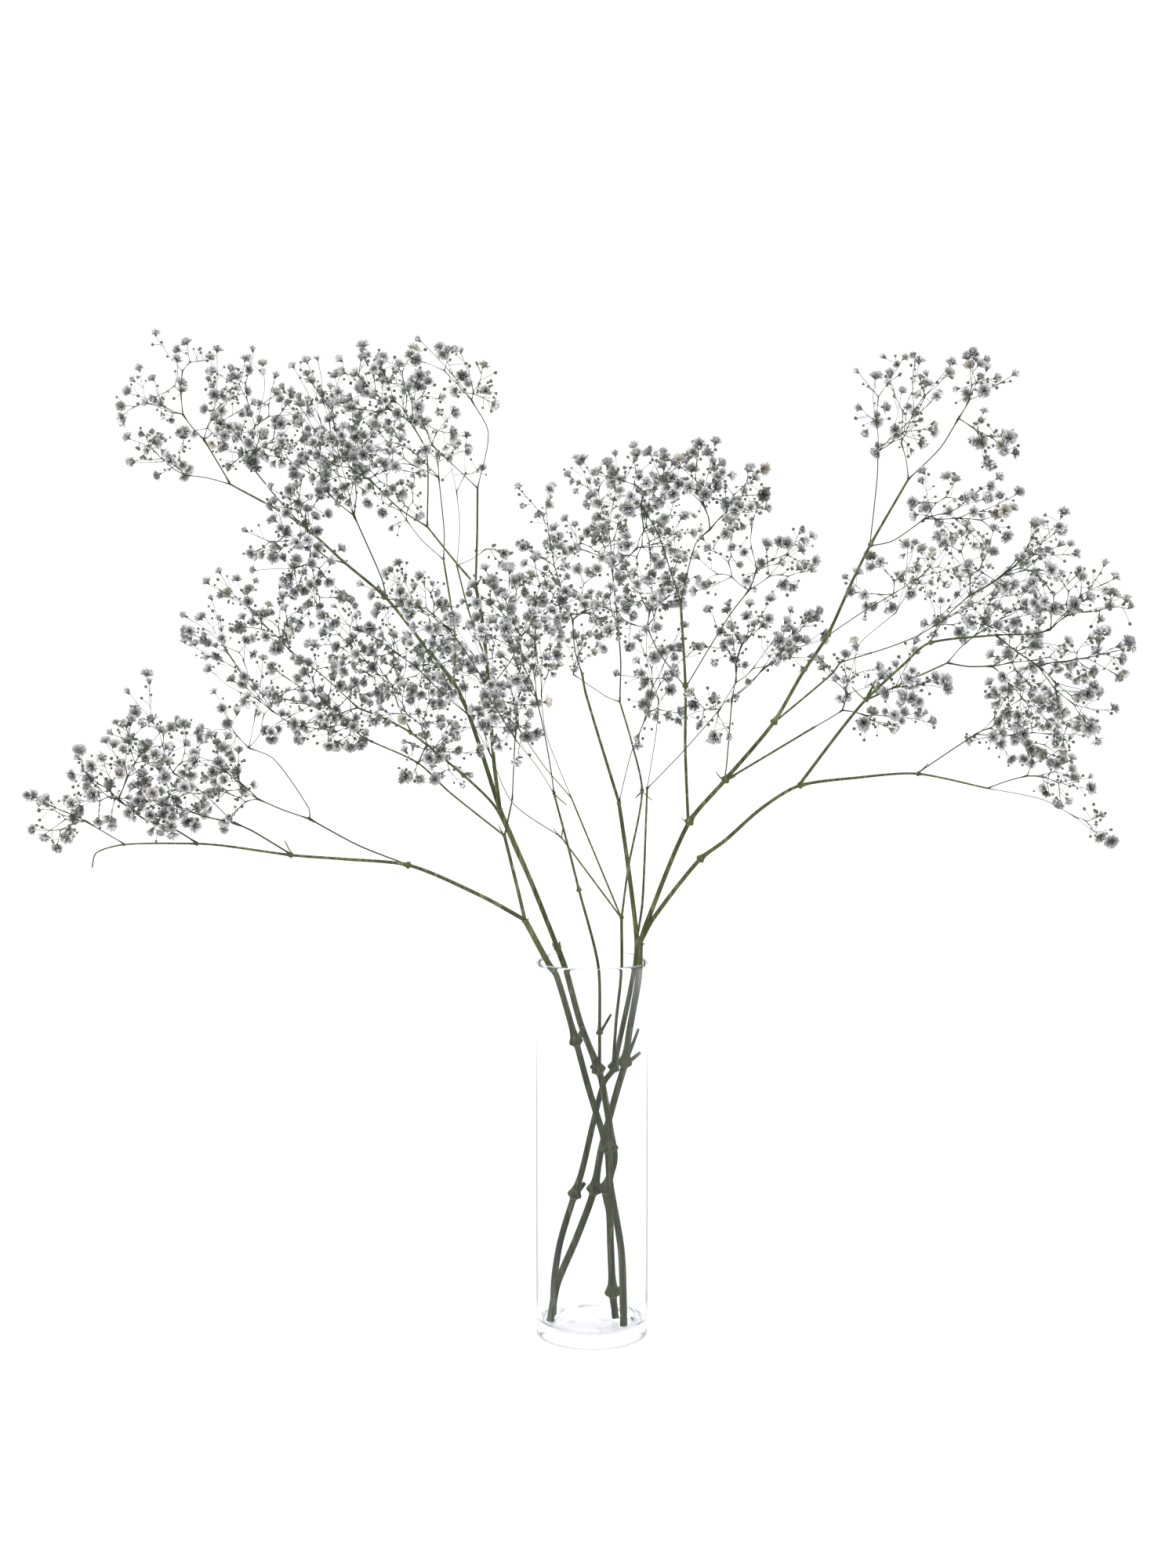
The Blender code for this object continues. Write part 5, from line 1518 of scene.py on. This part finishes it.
class MakeSprays(bpy.types.Operator):
    """Grow each spray: twigs that fork to every bloom, buds on their own stalks, and the double blooms"""

    bl_idname = "gypsophila.make_sprays"
    bl_label = "Sprays"

    def execute(self, context):
        sizes, colours = context.scene.spray_sizes, context.scene.plant_colours
        draw = np.random.default_rng(SEED + 2)
        self.blooms = [model_bloom("open_bloom", OPEN_ROWS, draw) for _ in range(2)]
        self.blooms += [model_bloom("cupped_bloom", CUPPED_ROWS, draw) for _ in range(2)]
        self.half_open = model_bloom("half_open_bloom", HALF_OPEN_ROWS, draw)
        self.cup = model_cup("calyx", 0.5, 1.55, 2.3, 0.9)
        self.bud = model_bud("bud", 1.4, 3.0)
        self.blade = model_blade("scale", 2)
        self.finishes = twig_skin(colours), bud_skin(colours), petal_skin(colours)
        self.low, self.high = allowed_box()
        taken, count = [], 0
        for name, routes, clouds in SPRAYS:
            goals = [[] for _ in routes]
            for cloud in clouds:
                places = cloud_places(count, cloud, taken)
                count += 1
                taken += places
                goals[cloud[0]] += places
            own = np.random.default_rng(SEED + 13 * count)
            self.make_spray(name, spray_tree(routes, goals), clouds, sizes, own)
        return {"FINISHED"}

    def make_spray(self, name, root, clouds, sizes, draw):
        twigs, buds, petals = self.finishes
        rods = twig_lines(root, sizes, draw)
        middle = np.mean([cloud[1] for cloud in clouds], axis=0)
        green, white = Heap(), Heap()
        stalk = sizes.pedicel_radius / MM
        for before, twig in all_twigs(root):
            into = unit(twig.place - before.place)
            if not twig.blooms:
                if twig.kids and len(twig.kids) > 1:
                    side = unit(np.cross(into, draw.normal(size=3)))
                    for way in (side, -side):
                        put_blade(green, self.blade, twig.place, into + 0.8 * way, *SCALE_SIZE, draw)
                continue
            face = into + 0.45 * unit(twig.place - middle) + (0, -0.1, 0.25) + 0.4 * draw.normal(size=3)
            self.put_bloom(green, white, twig.place, unit(face), sizes, draw)
            for _ in range(draw.poisson(sizes.side_shoots)):
                share = draw.uniform(0.25, 0.85)
                foot = before.place + share * (twig.place - before.place)
                way = unit(into + 0.8 * draw.normal(size=3))
                tip = foot + way * draw.uniform(*SHOOT_REACH)
                if not self.fits(tip, SHOOT_ROOM):
                    continue
                line = smooth_line([foot, (foot + tip) / 2 + 0.4 * draw.normal(size=3), tip], 4.0)
                rods.append((line, np.linspace(stalk * 1.2, stalk, len(line))))
                if draw.random() < sizes.shoots_in_bloom:
                    self.put_bloom(green, white, tip, unit(way + 0.3 * draw.normal(size=3)), sizes, draw)
                else:
                    size, turn, shade = draw.uniform(*BUD_SIZES), draw.uniform(0, 6), draw.random() ** 2
                    green.put(self.bud, tip, way, size, turn, shade, finish=1)
        rod_piece = draw_rods(name + "_rods", rods, TWIG_SIDES)
        rod_piece.data.materials.clear()
        rod_piece.data.materials.append(twigs)
        rod_piece.data.polygons.foreach_set("use_smooth", [True] * len(rod_piece.data.polygons))
        piece = green.made(name + "_twigs", [twigs, buds])
        only(piece)
        rod_piece.select_set(True)
        bpy.ops.object.join()
        carried(piece, "stem", name)
        carried(white.made(name + "_blooms", [petals]), "bloom", name)

    def fits(self, place, room):
        return (place > self.low + room).all() and (place < self.high - room).all()

    def put_bloom(self, green, white, place, face, sizes, draw):
        size = sizes.bloom_size * draw.normal(1.0, 0.09)
        turn = draw.uniform(0, 6.28)
        kind = draw.random()
        shade = np.clip(draw.normal(0.9, 0.2), 0.4, 1.1)
        warm = draw.uniform(0.2, 0.6) if draw.random() < CREAM_SHARE else draw.uniform(0, 0.08)
        green.put(self.cup, place, face, size, turn, finish=1)
        shape = self.half_open if kind < HALF_OPEN_SHARE else self.blooms[int(draw.integers(4))]
        white.put(shape, place + face * BLOOM_LIFT * size, face, size, turn, shade, warm)


def allowed_box():
    """The frame's box in millimetres with a margin, inside which the side shoots' tips are kept."""
    low, high = (np.array(corner) / MM for corner in CAD_BOX)
    spare = 0.02 * (high - low) + 5
    return low - spare, high + spare


class MakeStage(bpy.types.Operator):
    """Lay the pale floor and its backdrop, and set the soft lights and the camera"""

    bl_idname = "gypsophila.make_stage"
    bl_label = "Stage"

    def execute(self, context):
        look = context.scene.stage_look
        lay_floor(look)
        light_stage(context, look)
        set_camera(context)
        return {"FINISHED"}


FLOOR_WIDTH = 9.0
FLOOR_FRONT = 4.0
FLOOR_BACK = 2.6
BACKDROP_HEIGHT = 5.0
BACKDROP_BEND = 1.2
# How far from the middle the floor starts to take the tone of the sides, and has it
SIDES_START = (1.25, 2.1)
WHITE = (1.0, 1.0, 1.0)


def lay_floor(look):
    deselect()
    bpy.ops.mesh.primitive_plane_add(size=1)
    floor = bpy.context.active_object
    floor.name = floor.data.name = "floor"
    bpy.ops.object.mode_set(mode="EDIT")
    bpy.ops.transform.resize(value=(FLOOR_WIDTH, FLOOR_FRONT + FLOOR_BACK, 1))
    bpy.ops.transform.translate(value=(0, (FLOOR_BACK - FLOOR_FRONT) / 2, -0.0002))
    pick(lambda edge: all(point.co.y > FLOOR_BACK - 0.01 for point in edge.verts), "edges")
    bpy.ops.mesh.extrude_region_move(TRANSFORM_OT_translate={"value": (0, 0, BACKDROP_HEIGHT)})
    pick(lambda edge: all(p.co.y > FLOOR_BACK - 0.01 and p.co.z < 0.01 for p in edge.verts), "edges")
    bpy.ops.mesh.bevel(offset=BACKDROP_BEND, segments=16, affect="EDGES")
    bpy.ops.object.mode_set(mode="OBJECT")
    bpy.ops.object.shade_smooth()
    finish = Finish("pale_floor", look.floor)
    grain = finish.noise(3.0, 3.0)
    tone = finish.mix(grain, rgba(look.floor), rgba([part * 0.985 for part in look.floor]))
    aside = finish.spread(finish.parts(finish.place())[0].absolute(), *SIDES_START)
    tone = finish.mix(aside, tone, rgba(look.sides))
    finish.set(Base_Color=tone, Roughness=0.7, Specular_IOR_Level=0.2)
    glow = finish.mix(aside, rgba(WHITE), rgba(look.sides))
    finish.set(Emission_Color=glow, Emission_Strength=look.floor_glow)
    floor.data.materials.append(finish.made)


# Name, place, width and share of the main lamp's power
LAMPS = (
    ("key_lamp", (-1.6, -1.5, 2.4), 1.6, 1.0),
    ("fill_lamp", (1.8, -1.2, 1.9), 1.4, 0.6),
    ("back_lamp", (0.0, 1.6, 2.2), 2.0, 0.9),
)
LAMP_AIM = (0, 0, 0.4)


def light_stage(context, look):
    world = bpy.data.worlds.new("soft_fill")
    world.use_nodes = True
    sky = Nodes(world.node_tree)
    aside = sky.parts(sky.add("ShaderNodeTexCoord").outputs["Generated"])[0].absolute()
    stops = ((0.45, WHITE), (0.85, look.sides))
    tone = sky.add("ShaderNodeValToRGB", {"ramp": stops}, {"Fac": aside}).outputs["Color"]
    back = sky.nodes["Background"]
    sky.put(back.inputs["Color"], tone)
    sky.put(back.inputs["Strength"], look.sky)
    context.scene.world = world
    for name, place, size, share in LAMPS:
        lamp = bpy.data.lights.new(name, "AREA")
        lamp.shape = "DISK"
        lamp.size = size
        lamp.energy = look.lamp * share
        thing = bpy.data.objects.new(name, lamp)
        context.scene.collection.objects.link(thing)
        thing.location = place
        aim = Vector(LAMP_AIM) - Vector(place)
        thing.rotation_euler = aim.to_track_quat("-Z", "Y").to_euler()


CAMERA_PLACE = (-0.0032, -1.6, 0.581)
CAMERA_TILT = 4.84
HALF_FRAME = 0.3875
# Light turns often inside the wall of the glass before it leaves at a rim or an edge
GLASS_BOUNCES = 40


def set_camera(context):
    lens = bpy.data.cameras.new("photo_camera")
    lens.sensor_width = 36
    lens.lens = lens.sensor_width / 2 / HALF_FRAME
    lens.clip_start, lens.clip_end = 0.05, 40
    camera = bpy.data.objects.new("photo_camera", lens)
    context.scene.collection.objects.link(camera)
    camera.location = CAMERA_PLACE
    camera.rotation_euler = (math.radians(90 - CAMERA_TILT), 0, 0)
    context.scene.camera = camera
    context.scene.view_settings.view_transform = "Standard"
    cycles = context.scene.cycles
    cycles.max_bounces = cycles.transmission_bounces = cycles.glossy_bounces = GLASS_BOUNCES


class GypsophilaPanel(bpy.types.Panel):
    """The pieces of the gypsophila and what can be changed about them"""

    bl_idname = "VIEW3D_PT_gypsophila"
    bl_label = "Gypsophila in a vase"
    bl_space_type = "VIEW_3D"
    bl_region_type = "UI"
    bl_category = "Gypsophila"

    def draw(self, context):
        for group, makers in PANEL_ROWS:
            box = self.layout.box()
            settings = getattr(context.scene, group)
            for key in settings.bl_rna.properties.keys():
                if key not in ("rna_type", "name"):
                    box.prop(settings, key)
            for maker in makers:
                box.operator(maker.bl_idname)


PANEL_ROWS = (
    ("vase_sizes", (MakeVase,)),
    ("spray_sizes", (MakeStems, MakeLeaves, MakeSprays)),
    ("plant_colours", ()),
    ("stage_look", (MakeStage,)),
)
GROUPS = (
    ("vase_sizes", VaseSizes),
    ("plant_colours", PlantColours),
    ("spray_sizes", SpraySizes),
    ("stage_look", StageLook),
)
OPERATORS = (MakeVase, MakeStems, MakeLeaves, MakeSprays, MakeStage)


def register():
    for name, group in GROUPS:
        bpy.utils.register_class(group)
        setattr(bpy.types.Scene, name, PointerProperty(type=group))
    for operator in OPERATORS:
        bpy.utils.register_class(operator)
    bpy.utils.register_class(GypsophilaPanel)


def unregister():
    bpy.utils.unregister_class(GypsophilaPanel)
    for operator in reversed(OPERATORS):
        bpy.utils.unregister_class(operator)
    for name, group in reversed(GROUPS):
        delattr(bpy.types.Scene, name)
        bpy.utils.unregister_class(group)


def main():
    register()
    bpy.ops.gypsophila.make_vase()
    bpy.ops.gypsophila.make_stems()
    bpy.ops.gypsophila.make_leaves()
    bpy.ops.gypsophila.make_sprays()
    bpy.ops.gypsophila.make_stage()


if __name__ == "__main__":
    main()
